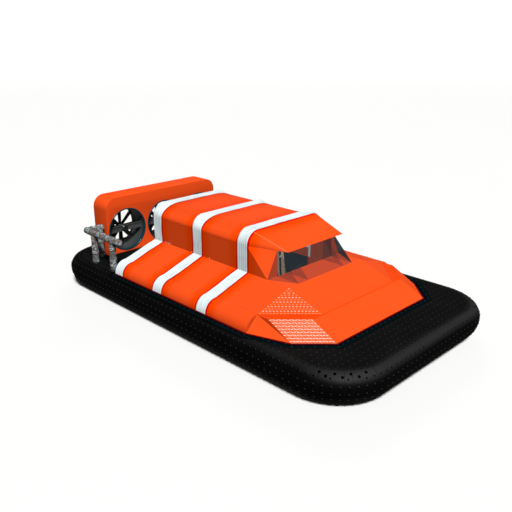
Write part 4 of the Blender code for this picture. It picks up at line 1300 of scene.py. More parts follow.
# %% [markdown]
# Round its foot the hull is ringed by painted shade, darkest next to it: a low dark red bead, a
# navy-black strip next to the bead and a wider dark teal one outside it. They share the hull's outline,
# moved outwards, so each is a small section carried round that outline.

# %% Painted shade round the hull's foot
def foot_strip(reaches, heights):
    """A strip on the deck along the hull's foot, from its section of reaches and heights."""
    line = [Vector(at(across, aft, 0)[:2]) for across, aft in HULL_FOOT]
    top = np.array([[(*(point + way * reach), DECK + height)
                     for reach, height in zip(reaches, heights)]
                    for point, way in zip(line, mitres(line))])
    under = top.copy()
    under[:, :, 2] = DECK + GAP
    return outward(body_from_grids(top, under))


for name, material, angle, reaches, heights in (
        ("foot_bead", RED_FOOT_SHADE_AND_NEEDLES, 50, (0.001, 0.005, 0.011, 0.017, 0.023),
         (0.010, 0.012, 0.0115, 0.008, 0.001)),
        ("foot_tape_inner", NAVY_FOOT_SHADE, 20, (0.0235, 0.027, 0.060, 0.064),
         (0.001, 0.003, 0.003, 0.001)),
        ("foot_tape_outer", TEAL_FOOT_SHADE, 20, (0.0645, 0.068, 0.114, 0.117),
         (0.001, 0.0022, 0.0022, 0.0012)),
        ("foot_tape_edge", FOOT_SHADE_EDGE, 20, (0.1172, 0.119, 0.148, 0.150),
         (0.001, 0.0018, 0.0014, 0.001))):
    keep(foot_strip(reaches, heights), name, "craft", material, angle=angle)
print("strips", len(HULL_FOOT), "corners round")

# %% [markdown]
# On the starboard bow two facets are painted with grip for stepping aboard. The paint is laid in
# rows of short gritty dashes that run with the facets' lower edge: even rows on the triangle, and
# denser ones, slanting to and fro, on the facet below it.

# %% Grip paint on the bow
def grip_rows(low, high, rows, pitch, slant):
    """Places of dashes between two edges of a facet, in frames, even rows and odd rows apart."""
    (a, b), (d, c) = [[at(*corner) for corner in edge] for edge in (low, high)]
    out = (b - a).cross((c + d) / 2 - a).normalized()
    out *= math.copysign(1, out.z)
    places = [], []
    for row in range(rows):
        share = (row + 0.45) / rows
        start, end = a.lerp(d, share), b.lerp(c, share)
        run = end - start
        count = max(1, int((run.length - 0.02) / pitch))
        for step in range(count):
            place = start + run * ((step + 0.5) / count)
            turned_way = run.normalized() + UP * slant * (-1) ** step
            places[row % 2].append((place + out * 0.0006, out, turned_way))
    return places


upper = grip_rows(((-7, 5, 1), (-4, 2, 1)), ((-4, 5, 2), (-4, 5, 2)), 12, 0.054, 0.25)
lower = grip_rows(((-7, 2, 0), (-5, 0, 0)), ((-7, 4, 1), (-5, 2, 1)), 16, 0.046, 0.45)
for name, size, places, material in (
        ("bow_grip_upper", (0.028, 0.013, 0.003), upper[1], GRIP_PAINT),
        ("bow_grip_upper_thin", (0.026, 0.011, 0.002), upper[0], THIN_PAINT),
        ("bow_grip_lower", (0.042, 0.015, 0.003), lower[1], GRIP_PAINT),
        ("bow_grip_lower_thin", (0.040, 0.008, 0.002), lower[0], THIN_PAINT)):
    keep(scattered(dash(*size), places), name, "craft", material)
print(sum(len(rows) for rows in upper + lower), "dashes of grip paint")

# %% [markdown]
# Rivets and short laps show where the panels are fastened: a row along the fold of each side deck, a
# row across the fan housing, one on the bow, and a stitched edge under the eaves. They are painted
# over, so they are only a little darker than the panels. Low ribs cross the bow's front slope.

# %% Rivets and stitched edges
RIVET_PITCH = 0.0875
RIVETS_CLEAR, STITCHES_CLEAR = 0.30, 0.14  # m from the middle of a band


def off_bands(y, clear):
    """True where a place isn't beside a white band."""
    return all(abs(y - at(0, fore + 0.5, 0).y) > clear for fore in BANDS.values())


rivets, stitches = [], []
count = int((CABIN_ENDS[1] - at(0, 5, 0).y) / RIVET_PITCH)
for side in (1, -1):
    out = Vector((side, 0, 3)).normalized()
    for step in range(1, count):
        y = at(0, 5, 0).y + step * RIVET_PITCH
        if off_bands(y, RIVETS_CLEAR):
            rivets.append((Vector((side * 6.93 * FRAME, y, at(0, 0, 1 + 0.07 / 3).z)), out, UP))
        if y > CABIN_ENDS[0] and off_bands(y, STITCHES_CLEAR):
            for part in (0, 0.5):
                place = Vector((side * 4 * FRAME, y + part * RIVET_PITCH, EAVES - 0.012))
                stitches.append((place, Vector((side, 0, 0)), Vector((0, 1, 0))))
front = at(0, 24, 4.05)
for step in range(-15, 16):
    rivets.append((front + Vector((step * 0.086, 0, 0)), Vector((0, -1, 0)), UP))
for x in np.linspace(-3.6, 3.6, 7):
    rivets.append((at(x, 2, 1) + Vector((0, 0.01, 0.0035)), Vector((0, -1, 3)).normalized(), UP))
for across in (-4.2, 3.8):
    stitches.append((at(across, 24, 4.65), Vector((0, -1, 0)), UP))
keep(scattered(button(0.0075, 0.0016, 0.0006, 6), rivets), "panel_rivets", "craft", RIVET_PAINT)
keep(scattered(dash(0.026, 0.006, 0.002), stitches), "eaves_stitches", "craft", RIVET_PAINT)

slope_out = Vector((0, -1, 2)).normalized()
laps = []
for step in range(1, 14):
    middle = at(0, 0, 0).lerp(at(0, 2, 1), step / 14) + slope_out * 0.0002
    laps.append(ribbon([(middle + Vector((x, 0, 0)), slope_out) for x in (-4.9 * FRAME, 4.9 * FRAME)],
                       0.006, 0.0012))
keep(join(laps), "bow_slope_ribs", "craft", GELCOAT)
print(len(rivets), "rivets,", len(stitches), "stitches,", len(laps), "ribs")

# %% [markdown]
# The fan housing is one broad box with a quarter round along both its top edges and a round hole for
# each duct. It is a cube primitive; the two long edges are bevelled by a whole frame, the rims by
# a little, and three cylinders are cut from it.

# %% Fan housing
DUCTS = {"port": 4, "centre": 0, "starboard": -4}
DUCT_WALL = 0.016
MOUTH = {name: at(across, 24, 2) for name, across in DUCTS.items()}
HOUSING_DEPTH = 2 * FRAME
LIP = (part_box("duct_centre")[1].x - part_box("duct_centre")[0].x) / 2
DUCT_OUTSIDE = LIP - 0.014
DUCT_INSIDE = DUCT_OUTSIDE - DUCT_WALL

housing = block(at(-6, 24, 0) + Vector((0, 0, GAP)), at(6, 26, 5))
top = at(0, 0, 5).z
pick(housing, "EDGE", lambda a, b: min(a.z, b.z) > top - 0.001 and abs(a.y - b.y) > 0.1)
bpy.ops.mesh.bevel(offset=FRAME, segments=ROUND_STEPS, affect="EDGES")
for mouth in MOUTH.values():
    ends = steps_from(mouth, (0, -0.1, 0), (0, HOUSING_DEPTH + 0.1, 0))
    subtract(housing, rod(*ends, DUCT_OUTSIDE + GAP, 96))
keep(soften(housing, 0.006, 3, 40), "fan_housing_shell", "craft", GELCOAT,
     ["fan_housing"], angle=25)
print("housing", [round(v, 2) for v in housing.dimensions])

# %% [markdown]
# Each duct is a sheet metal tube with a rolled lip that stands a little ahead of the housing. A beam
# right across its mouth carries the fan's electric motor: the beam is a box section with a row of
# slots along its upper edge, and the motor has a ribbed body, a domed cap and a ring of bolts.

# %% Ducts, beams and motors
BEAM_FROM, BEAM_TO = 0.12, 0.17
BEAM_TALL = 0.13
SLOT_PITCH = 0.056
MOTOR = 0.075
MOTOR_FROM, MOTOR_TO = 0.085, 0.235
SHAFT = 0.018
THROAT = 0.055  # how far the lip's enamel runs into the duct


def bolt_ring(mouth, radius, count, back, size):
    """Hexagon heads in a ring, facing forwards."""
    head = soften(rod((0, 0, 0), (0, -size * 0.7, 0), size, 6), size * 0.12, 1, 20)
    turns = [2 * math.pi * step / count for step in range(count)]
    places = steps_from(mouth, *[(radius * math.cos(t), back, radius * math.sin(t)) for t in turns])
    return set_out(head, [Matrix.Translation(place) for place in places])


def duct(name, mouth):
    wall = [(DUCT_INSIDE, HOUSING_DEPTH), (DUCT_OUTSIDE, HOUSING_DEPTH), (DUCT_OUTSIDE, 0.004),
            (DUCT_INSIDE, 0.004)]
    keep(turned(wall, mouth), f"duct_{name}_tube", "craft", DUCT_ENAMEL,
         ["duct_" + name], angle=30)
    lip = [(DUCT_INSIDE + 0.0005, 0.003), (DUCT_OUTSIDE - 0.001, 0.003), (DUCT_OUTSIDE, -GAP),
           (LIP, -GAP)] + arc((LIP - 0.006, -0.002), 0.006, 0, -90, 6)
    lip += arc((DUCT_INSIDE + 0.008, 0.0), 0.008, -90, -180, 6)
    keep(turned(lip, mouth), f"duct_{name}_lip", "craft", LIP_ENAMEL, angle=30)
    throat = [(DUCT_INSIDE - 0.0012, THROAT), (DUCT_INSIDE - 0.0002, THROAT + 0.0005),
              (DUCT_INSIDE - 0.0002, 0.004), (DUCT_INSIDE - 0.0012, 0.004)]
    keep(turned(throat, mouth), f"duct_{name}_throat", "craft", LIP_ENAMEL, angle=30)
    half = Vector((DUCT_INSIDE + 0.004, 0, BEAM_TALL / 2))
    beam = block(mouth - half + Vector((0, BEAM_FROM, 0)), mouth + half + Vector((0, BEAM_TO, 0)))
    pick(beam, "FACE", lambda c, n: n.y < -0.9)
    bpy.ops.mesh.inset(thickness=0.014)
    bpy.ops.mesh.extrude_region_move(TRANSFORM_OT_translate={"value": (0, 0.004, 0)})
    bpy.ops.object.mode_set(mode="OBJECT")
    keep(soften(beam, 0.002), f"duct_{name}_beam", "craft", BEAM_ENAMEL)
    slot = soften(block((-0.019, -0.003, -0.006), (0.019, 0.006, 0.006)), 0.002)
    places = [mouth + Vector((step * SLOT_PITCH, BEAM_FROM, BEAM_TALL / 2 - 0.018))
              for step in range(-7, 8) if abs(step) > 1]
    slots = set_out(slot, [Matrix.Translation(place) for place in places])
    keep(slots, f"duct_{name}_beam_slots", "craft", FOOT_RUBBER)
    body = [(0.001, MOTOR_FROM - 0.006), (MOTOR * 0.5, MOTOR_FROM - 0.004), (MOTOR * 0.8, MOTOR_FROM)]
    for rib in range(5):
        low = MOTOR_FROM + 0.012 + rib * 0.028
        body += [(MOTOR * 0.93, low), (MOTOR, low + 0.004), (MOTOR, low + 0.016),
                 (MOTOR * 0.93, low + 0.020)]
    body += [(MOTOR * 0.8, MOTOR_TO), (SHAFT, MOTOR_TO), (SHAFT, 0.325), (SHAFT * 0.8, 0.33),
             (0.001, 0.33)]
    keep(turned(body, mouth, 48), f"duct_{name}_motor", "craft", MOULDED_BLACK)
    keep(bolt_ring(mouth, MOTOR * 0.62, 6, MOTOR_FROM - 0.002, 0.006), f"duct_{name}_motor_bolts",
         "craft", STAINLESS)


for name, mouth in MOUTH.items():
    duct(name, mouth)
print("ducts at", [[round(v, 2) for v in mouth] for mouth in MOUTH.values()])

# %% [markdown]
# A fan is eight moulded paddles set in a hub at 12 degrees. One paddle is modelled from a cube: it
# is subdivided, its root is narrowed, its middle is bowed a little for camber, and all its edges are
# rounded. Then it is copied round the hub.

# %% Fans
FAN_BACK = 0.30  # from the mouth to the middle of the hub
PADDLES = 8
CAMBER = 0.004
PADDLE_FROM, PADDLE_TO = 0.055, 0.425
PADDLE_WIDTH = 0.100
PADDLE_THICK = 0.008
PITCH = math.radians(12)
HUB = 0.070
HUB_HALF = 0.055


def paddle():
    """One paddle along +X, flat in the XZ plane before it is pitched."""
    blade = block((PADDLE_FROM, -PADDLE_THICK / 2, -PADDLE_WIDTH / 2),
                  (PADDLE_TO, PADDLE_THICK / 2, PADDLE_WIDTH / 2))
    whole(blade)
    bpy.ops.mesh.subdivide(number_cuts=5)
    bpy.ops.object.mode_set(mode="OBJECT")
    reach = PADDLE_TO - PADDLE_FROM
    for vertex in blade.data.vertices:
        along = (vertex.co.x - PADDLE_FROM) / reach
        vertex.co.z *= 0.80 + 0.22 * min(1.0, along * 1.6)
        vertex.co.y += CAMBER * (1 - (2 * vertex.co.z / PADDLE_WIDTH) ** 2)
    return soften(blade, 0.0018, 2, 50)


def fan(name, mouth):
    middle = Matrix.Translation(mouth + Vector((0, FAN_BACK, 0)))
    turns = [Matrix.Rotation(2 * math.pi * step / PADDLES, 4, "Y") for step in range(PADDLES)]
    blades = set_out(paddle(), [middle @ turn @ Matrix.Rotation(PITCH, 4, "X") for turn in turns])
    keep(blades, f"fan_{name}_paddles", "fan_" + name, BLADE_NYLON, ["fan_" + name])
    back = FAN_BACK - HUB_HALF
    end = back + 2 * HUB_HALF
    bore = SHAFT + 0.0007
    hub = [(bore, back), (HUB - 0.006, back), (HUB, back + 0.006), (HUB, end - 0.006),
           (HUB - 0.006, end), (0.001, end), (0.001, end - 0.018), (bore, end - 0.018)]
    keep(turned(hub, mouth, 48), f"fan_{name}_hub", "fan_" + name, MOULDED_BLACK)


for name, mouth in MOUTH.items():
    fan(name, mouth)
print(PADDLES, "paddles a fan, pitch", round(math.degrees(PITCH)), "degrees")

# %% [markdown]
# A rudder is a foil shaped board, glassed over foam, on a steel pin. Its section is drawn with a
# round nose and a straight taper, extruded to its height, and given a cap at each end and three
# straps, as such a board has. The pins run in the two rails behind the housing.

# %% Rudders
RUDDER_BACK = 0.105  # from the housing to the rudder's axis
NOSE, TAIL, THICK = 0.07, 0.28, 0.036
RUDDER_PIN = 0.012
RUDDER_FROM, RUDDER_TO = 0.085, 1.075
CAP = 0.012  # height of the caps


def foil(half, grow=0.0):
    nose = arc((0, -NOSE + half), half, 0, -180, 16)
    outline = [(half + grow, 0.25 * TAIL)] + [(x * (1 + grow / half), y - grow) for x, y in nose]
    return outline + [(-half - grow, 0.25 * TAIL), (-0.15 * half - grow, TAIL + grow),
                      (0.15 * half + grow, TAIL + grow)]


def rudder(name, across):
    axis = at(across, 26, 0) + Vector((0, RUDDER_BACK, 0))
    half = THICK / 2 - 0.0015

    def board(low, high, grow):
        outline = [(axis.x + x, axis.y + y) for x, y in foil(half, grow)]
        return extruded(outline, DECK + low, DECK + high, "xy")

    body = "rudder_" + name
    keep(soften(board(RUDDER_FROM + CAP, RUDDER_TO - CAP, -0.0002), 0.001, 1, 40),
         body + "_board", body, LIP_ENAMEL, [body])
    caps = [board(low, low + CAP - 0.0002, 0.0012)
            for low in (RUDDER_FROM, RUDDER_TO - CAP + 0.0002)]
    for height in (0.33, 0.58, 0.83):
        caps.append(board(height, height + 0.02, 0.0013))
    keep(soften(join(caps), 0.0008, 1, 40), body + "_straps", body, MOULDED_BLACK)
    pins = [rod(*steps_from(axis, (0, 0, low), (0, 0, high)), RUDDER_PIN)
            for low, high in ((0.030, 0.09), (1.07, 1.125))]
    keep(soften(join(pins), 0.001), body + "_pins", body, STAINLESS)


for name, across in DUCTS.items():
    rudder(name, across)
print("rudders", round(RUDDER_TO - RUDDER_FROM, 2), "m tall")

# %% [markdown]
# A frame of thick pipe stands on the starboard quarter. It is galvanised and weathered, bound with
# brown wire and wrapped in places with check tape. The pipes are cylinders with rounded ends, made
# one by a boolean union.

# %% The pipe rail
RAIL_UP = 2.55
RAIL_CORNER = at(-7.64, 24.46, RAIL_UP)
RAIL_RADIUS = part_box("pipe_rail")[1].z - RAIL_CORNER.z - 0.001
RAIL_ENDS = (at(-7.64, 19.60, RAIL_UP), at(-6.15, 24.46, RAIL_UP))
RAIL_LEGS = [(at(across, aft, 0) + UP * GAP, at(across, aft, RAIL_UP)) for across, aft in RAIL_FEET]


def pipe(start, end):
    tube = rod(start, end, RAIL_RADIUS, 40)
    return soften(tube, RAIL_RADIUS * 0.45, 5, 60)


rail_runs = [(RAIL_CORNER, end) for end in RAIL_ENDS] + RAIL_LEGS
overshoot = (RAIL_CORNER - RAIL_ENDS[0]).normalized() * RAIL_RADIUS * 0.9
pipes = [pipe(RAIL_CORNER + overshoot, RAIL_ENDS[0])] + [pipe(*run) for run in rail_runs[1:]]
for other in pipes[1:]:
    modify(pipes[0], "BOOLEAN", operation="UNION", solver="EXACT", object=other)
    bpy.data.objects.remove(other)
keep(pipes[0], "rail_pipes", "craft", GALVANISED, ["pipe_rail"], angle=45)
print("pipes", round(RAIL_RADIUS * 2000), "mm thick")

# %% [markdown]
# Sleeves and turns of tape follow each other along every pipe, with a turn of wire on either side of
# a tape. They stand a few millimetres off the pipe, so that their edges catch the light.

# %% Sleeves, tapes and wire
WRAP_PITCH = 0.115
TAPE_HALF, TAPE_PROUD = 0.036, 0.002  # half the length, and how far it stands off the pipe
SLEEVE_HALF, SLEEVE_PROUD = 0.030, 0.006
WIRE_RADIUS = 0.0042


def collar(middle, way, half, proud, width, segments=2):
    """A short sleeve or a turn of tape round a pipe."""
    tube = rod(middle - way * half, middle + way * half, RAIL_RADIUS + proud, 40)
    return soften(tube, width, segments)


def wire_turn(centre, way):
    turn = way.to_track_quat("Z", "Y").to_euler()
    clear_selection()
    bpy.ops.mesh.primitive_torus_add(major_segments=36, minor_segments=6, location=centre,
                                     major_radius=RAIL_RADIUS + TAPE_PROUD, minor_radius=WIRE_RADIUS,
                                     rotation=turn)
    return settle(bpy.context.object)


sleeves, tapes, wires = [], [], []
for number, (start, end) in enumerate(rail_runs):
    way = (end - start).normalized()
    count = int(((end - start).length - 0.10) / WRAP_PITCH)
    for step in range(count):
        middle = start + way * (0.12 + step * WRAP_PITCH)
        if (step + number) % 3 == 0:
            tapes.append(collar(middle, way, TAPE_HALF, TAPE_PROUD, 0.0012))
            wires += [wire_turn(middle + way * (side * (TAPE_HALF + 0.005)), way)
                      for side in (-1, 1)]
        elif (step + number) % 3 == 1:
            sleeves.append(collar(middle, way, SLEEVE_HALF, SLEEVE_PROUD, 0.004, 3))
keep(join(sleeves), "rail_sleeves", "craft", GALVANISED, angle=45)
keep(join(tapes), "rail_check_tape", "craft", CHECK_TAPE, angle=45)
keep(join(wires), "rail_binding_wire", "craft", WIRE, angle=60)
print(len(sleeves), "sleeves,", len(tapes), "tapes,", len(wires), "turns of wire")

# %% [markdown]
# Each leg stands in a rubber foot bolted to the deck: a low disc whose top is inset and raised
# towards the pipe. Its six bolts are one bolt, copied round it.

# %% Feet of the pipe rail
feet, foot_bolts = [], []
for foot, _ in RAIL_LEGS:
    flange = rod(foot, foot + UP * 0.012, 0.105, 40)
    feet.append(soften(crown(flange, 0.024, 0.014), 0.003, 2, 40))
    bolt = soften(rod((0, 0, 0), (0, 0, 0.007), 0.008, 6), 0.001, 1)
    turns = [math.radians(60 * step + 15) for step in range(6)]
    places = steps_from(foot, *[(0.093 * math.cos(t), 0.093 * math.sin(t), 0.012) for t in turns])
    foot_bolts.append(set_out(bolt, [Matrix.Translation(place) for place in places]))
keep(join(feet), "rail_feet", "craft", FOOT_RUBBER, angle=40)
keep(join(foot_bolts), "rail_foot_bolts", "craft", STAINLESS, angle=30)
print(len(feet), "feet")

# %% [markdown]
# Where the brow's round side turns into its flat face, a low pale orange ribbon lies along the fold: a
# painted highlight. A darker bead, painted over, lies where it sits on the pillar. Both are thin
# ribbons along straight lines.

# %% Ribbons on the brow
# painted highlight along the brow's fold
BROW_HIGHLIGHT_PAINT = enamel("brow_painted_highlight", "#FF7A4C", "#FF6A3C", 0.7, 0)
BROW_TIP, BROW_CROWN = at(3, 6, 4), at(3.3827, 9, 4.9239)


def brow_line(side, ends, out, width, height):
    """A ribbon along a straight line of the brow, given for port."""
    start, end, out = [Vector((side * x, y, z)) for x, y, z in (*ends, out)]
    out.normalize()
    return ribbon([(start.lerp(end, 0.02 + 0.96 * step / 24) + out * 0.0015, out)
                   for step in range(25)], width, height)


highlight_ribbons = [brow_line(side, (BROW_TIP, BROW_CROWN), (0.42, -0.28, 0.86), 0.010, 0.0022)
           for side in (1, -1)]
joints = [brow_line(side, (at(3, 7, 4), at(4, 9, 4)), (0.80, -0.40, 0.2), 0.006, 0.002)
          for side in (1, -1)]
keep(join(highlight_ribbons), "brow_painted_highlights", "craft", BROW_HIGHLIGHT_PAINT, angle=50)
keep(join(joints), "brow_joints", "craft", RIVET_PAINT, angle=50)
print(len(highlight_ribbons) + len(joints), "ribbons on the brow")

# %% [markdown]
# Inside the cabin only what shows through the glass is dressed: the wall linings, a white rib behind
# the windscreen, the seat and the helm. The seat's covers are woven cloth over foam. Cloth like that
# is drawn as fine threads crossing, with a noise for the slubs in the yarn.

# %% Materials: seat cloth and cabin linings
SEAT_THREADS = 0.004


def seat_cloth():
    material, tree, shader, place = start_material("sand_coloured_seat_cloth", "#C8AE8E", 0.85,
                                                   Sheen_Weight=0.3, Specular_IOR_Level=0.2)
    across, along = [
        add_node(tree, "TexWave", {"Vector": place, "Scale": 1 / (SEAT_THREADS * BANDS_A_METRE)}, "Fac",
                 bands_direction=direction) for direction in ("X", "DIAGONAL")]
    weave = add_node(tree, "Math", {0: across, 1: along}, operation="MULTIPLY")
    slubs = add_node(tree, "TexNoise", {"Vector": place, "Scale": 30.0, "Detail": 5.0})
    share = add_node(tree, "Math", {0: weave, 1: slubs}, operation="MULTIPLY")
    shade = add_node(tree, "Mix", {"Factor": share, COLOUR_A: srgb("#B0967A"),
                                   COLOUR_B: srgb("#DCC8AC")}, COLOUR_OUT, data_type="RGBA")
    tree.links.new(shade, shader.inputs["Base Color"])
    relief = add_node(tree, "Bump", {"Height": weave, "Strength": 0.4, "Distance": 0.0008})
    tree.links.new(relief, shader.inputs["Normal"])
    return material


SEAT_CLOTH = seat_cloth()
STRAP = enamel("black_seat_webbing", "#0A0B0C", "#17181A", 0.7, 0)
BUCKLE = enamel("white_moulded_buckle", "#E6E6E2", "#D6D6D0", 0.4, 0.2)
SHELF_PAINT = enamel("dusty_shelf_paint", "#C65E46", "#E84C16", 0.8, 0)
WALL_LINING = enamel("russet_wall_lining", "#B4441C", "#A63C18", 0.8, 0)
DARK_LINING = enamel("black_teal_lining", "#001E22", "#00282C", 0.8, 0)
WHITE_LINING = enamel("white_rib_paint", "#C6D2D4", "#B4C2C6", 0.6, 0)
print("seat threads drawn", SEAT_THREADS * 1000, "mm apart")

# %% [markdown]
# The walls are lined with thin russet board above a dark teal board that reaches up from the floor.
# A rib stands behind the windscreen and a white panel lines the wall behind it. All of them are
# boards with eased edges.

# %% Cabin linings
LINING_TOP = 0.865  # of the dark board
WALL_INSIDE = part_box("cabin_wall_port")[0].x - 0.001
WELL_SIDE_X = 0.926
RIB_FROM, RIB_TO = -0.605, -0.565
FLOOR_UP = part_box("engine_block")[0].z
SILL = at(0, 0, 2).z


def board(side, inner, outer, fore, aft, low, high):
    xs = sorted((side * inner, side * outer))
    return soften(block((xs[0], fore, low), (xs[1], aft, high)), 0.001, 1)


russet, dark, white = [], [], []
FRONT, BACK = at(0, 7.05, 0).y, CABIN_ENDS[1] - 0.06
for side in (1, -1):
    upper_board = [(FRONT, SILL + 0.002), (BACK + 0.01, SILL + 0.002), (BACK + 0.01, EAVES - 0.01),
                   (at(0, 8.75, 0).y, EAVES - 0.01), (FRONT, SILL + 0.07)]
    russet.append(extruded(upper_board, side * (WALL_INSIDE - 0.003), side * WALL_INSIDE, "yz"))
    for aft, low, high in ((BACK, LINING_TOP + 0.001, SILL + 0.06),
                           (RIB_TO - 0.0005, DECK + 0.01, LINING_TOP)):
        russet.append(board(side, WALL_INSIDE - 0.006, WALL_INSIDE - 0.0035, FRONT, aft, low, high))
    dark.append(board(side, WELL_SIDE_X - 0.003, WELL_SIDE_X, RIB_TO, BACK, FLOOR_UP + 0.002,
                      LINING_TOP))
    white.append(board(side, WALL_INSIDE - 0.030, WALL_INSIDE - 0.0065, RIB_FROM, RIB_TO,
                       LINING_TOP, EAVES - 0.012))
    white.append(board(side, WALL_INSIDE - 0.060, WALL_INSIDE - 0.0065, RIB_TO + 0.001, -0.36,
                       1.065, EAVES - 0.012))
arch_out = mirrored(roof_edge(BROW_EDGE, ROOF_SHELL + 0.002, 2))
arch_in = mirrored(roof_edge(BROW_EDGE, ROOF_SHELL + 0.026, 2))
white.append(extruded(arch_out + arch_in[::-1], RIB_FROM, RIB_TO))
keep(join(russet), "wall_linings", "craft", WALL_LINING)
keep(join(dark), "floor_linings", "craft", DARK_LINING)
keep(join(white), "cabin_rib", "craft", WHITE_LINING)
dots = [(Vector((side * (WALL_INSIDE - 0.0032), -0.68 - step * 0.05, 1.16)), Vector((-side, 0, 0)), UP)
        for side in (1, -1) for step in range(11)]
keep(scattered(button(0.007, 0.002, 0.0008), dots), "lining_studs", "craft", GELCOAT)
print(len(russet) + len(dark) + len(white), "boards")

# %% [markdown]
# Small white plugs close the drain holes at the foot of the cabin's walls. The door at the back of
# the cabin has a rubber frame round its window and a lever handle on a plate.

# %% Plugs and door fittings
plugs = [(Vector((side * (4 * FRAME + 0.0005), at(0, aft, 0).y, SILL + 0.012)),
          Vector((side, 0, 0)), UP)
         for side in (1, -1) for aft in (13.1, 15.2, 18.0, 18.2, 18.4, 18.6)]
keep(scattered(button(0.009, 0.003, 0.001), plugs), "drain_plugs", "craft", BUCKLE)
DOOR_LOW, DOOR_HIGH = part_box("rear_door")
PANE_LOW, PANE_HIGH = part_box("door_window")
GASKET = 0.014
strips = []
for low_x, high_x, low_z, high_z in (
        (PANE_LOW.x - GASKET, PANE_HIGH.x + GASKET, PANE_LOW.z - GASKET, PANE_LOW.z),
        (PANE_LOW.x - GASKET, PANE_HIGH.x + GASKET, PANE_HIGH.z, PANE_HIGH.z + GASKET),
        (PANE_LOW.x - GASKET, PANE_LOW.x, PANE_LOW.z + GAP, PANE_HIGH.z - GAP),
        (PANE_HIGH.x, PANE_HIGH.x + GASKET, PANE_LOW.z + GAP, PANE_HIGH.z - GAP)):
    strip = block((low_x, DOOR_HIGH.y + GAP, low_z), (high_x, DOOR_HIGH.y + 0.005, high_z))
    strips.append(soften(strip, 0.0015))
keep(join(strips), "door_gasket", "rear_door", MOULDED_BLACK)
LATCH = Vector((DOOR_LOW.x + 0.055, DOOR_HIGH.y + GAP, 1.08))
plate = soften(block(*steps_from(LATCH, (-0.020, 0, -0.08), (0.020, 0.004, 0.08))), 0.0015)
stem = soften(rod(*steps_from(LATCH, (0, 0.003, 0.03), (0, 0.045, 0.03)), 0.009), 0.001)
lever = soften(block(*steps_from(LATCH, (-0.011, 0.034, 0.021), (0.115, 0.047, 0.039))), 0.005, 4)
keep(join([plate, stem, lever]), "door_handle", "rear_door", STAINLESS, angle=40)
print("door handle at", [round(v, 3) for v in LATCH])

# %% [markdown]
# The seat's cushion and back are foam in sewn covers. Each starts as a block a little smaller than
# its place, with soft corners, remeshed evenly. A short cloth simulation with air pressure swells it,
# so its faces crown and its sides pull in at the corners, and no point may move more than a few
# millimetres. The sewn channels are pressed in afterwards.

# %% Padding by cloth simulation
PUFF_LIMIT = 0.008
VOXEL = 0.006
CHANNELS = (-0.115, 0.0, 0.115)
CHANNEL = 0.007  # a channel's depth, and its half width


def swell(pad):
    """Blow the cover up a little and keep every point near its place."""
    modify(pad, "REMESH", mode="VOXEL", voxel_size=VOXEL)
    rest = np.zeros(len(pad.data.vertices) * 3)
    pad.data.vertices.foreach_get("co", rest)
    cloth = pad.modifiers.new("cloth", "CLOTH")
    cloth.settings.use_pressure = True
    cloth.settings.uniform_pressure_force = 4
    cloth.settings.effector_weights.gravity = 0
    for step in range(1, 21):
        bpy.context.scene.frame_set(step)
    only(pad)
    bpy.ops.object.modifier_apply(modifier=cloth.name)
    bpy.context.scene.frame_set(1)
    moved = np.zeros_like(rest)
    pad.data.vertices.foreach_get("co", moved)
    shift = (moved - rest).reshape(-1, 3)
    length = np.linalg.norm(shift, axis=1, keepdims=True)
    shift *= np.minimum(1, PUFF_LIMIT / np.maximum(length, 1e-9))
    pad.data.vertices.foreach_set("co", rest + shift.ravel())
    pad.data.update()


def press_channels(pad, front):
    """Sewn channels down the face that front selects."""
    normals = np.zeros(len(pad.data.vertices) * 3)
    pad.data.vertex_normals.foreach_get("vector", normals)
    normals = normals.reshape(-1, 3)
    for vertex, normal in zip(pad.data.vertices, normals):
        if front(normal):
            near = min(abs(vertex.co.x - channel) for channel in CHANNELS)
            vertex.co -= Vector(normal) * CHANNEL * math.exp(-(near / CHANNEL) ** 2)


def seat_pad(pad, name, node, front):
    soften(pad, 0.016, 4)
    swell(pad)
    press_channels(pad, front)
    keep(pad, name, "craft", SEAT_CLOTH, [node], angle=60)


print("a cover may swell", PUFF_LIMIT * 1000, "mm")

# %% [markdown]
# The cushion is a plain block to start with. The back leans by 8 degrees, so it is drawn from the
# side and extruded across.

# %% Seat cushion and back
SEAT_LOW, SEAT_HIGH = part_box("seat_cushion")
BACK_LOW, BACK_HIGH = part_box("seat_back")
SLACK = 0.009
LEAN = math.tan(math.radians(8))
BACK_PAD = 0.10

cushion = block(SEAT_LOW + Vector((SLACK, SLACK, 0.001)), SEAT_HIGH - Vector((SLACK, SLACK, SLACK)))
seat_pad(cushion, "seat_cushion_cover", "seat_cushion", lambda normal: normal[2] > 0.7)

low, high = BACK_LOW.z + SLACK, BACK_HIGH.z - SLACK
back_face = BACK_HIGH.y - LEAN * (BACK_HIGH.z - BACK_LOW.z)
outline = [(back_face + LEAN * (height - BACK_LOW.z) - inset, height)
           for inset, height in ((0.002, low), (0.002, high), (BACK_PAD - SLACK, high),
                                 (BACK_PAD - SLACK, low))]
back = extruded(outline, BACK_LOW.x + SLACK, BACK_HIGH.x - SLACK, "yz")
seat_pad(back, "seat_back_cover", "seat_back", lambda normal: normal[1] < -0.7)
print("seat pads", [round(v, 3) for v in cushion.dimensions], [round(v, 3) for v in back.dimensions])

# %% [markdown]
# A harness lies on the seat: two shoulder straps come over the back and meet two lap straps in a
# white buckle. Webbing is flat and thin, so each strap is a ribbon along its own line of places.

# %% Harness
def back_front(height, proud=0.004):
    """The face of the seat back at a height."""
    return back_face + LEAN * (height - BACK_LOW.z) - BACK_PAD - proud


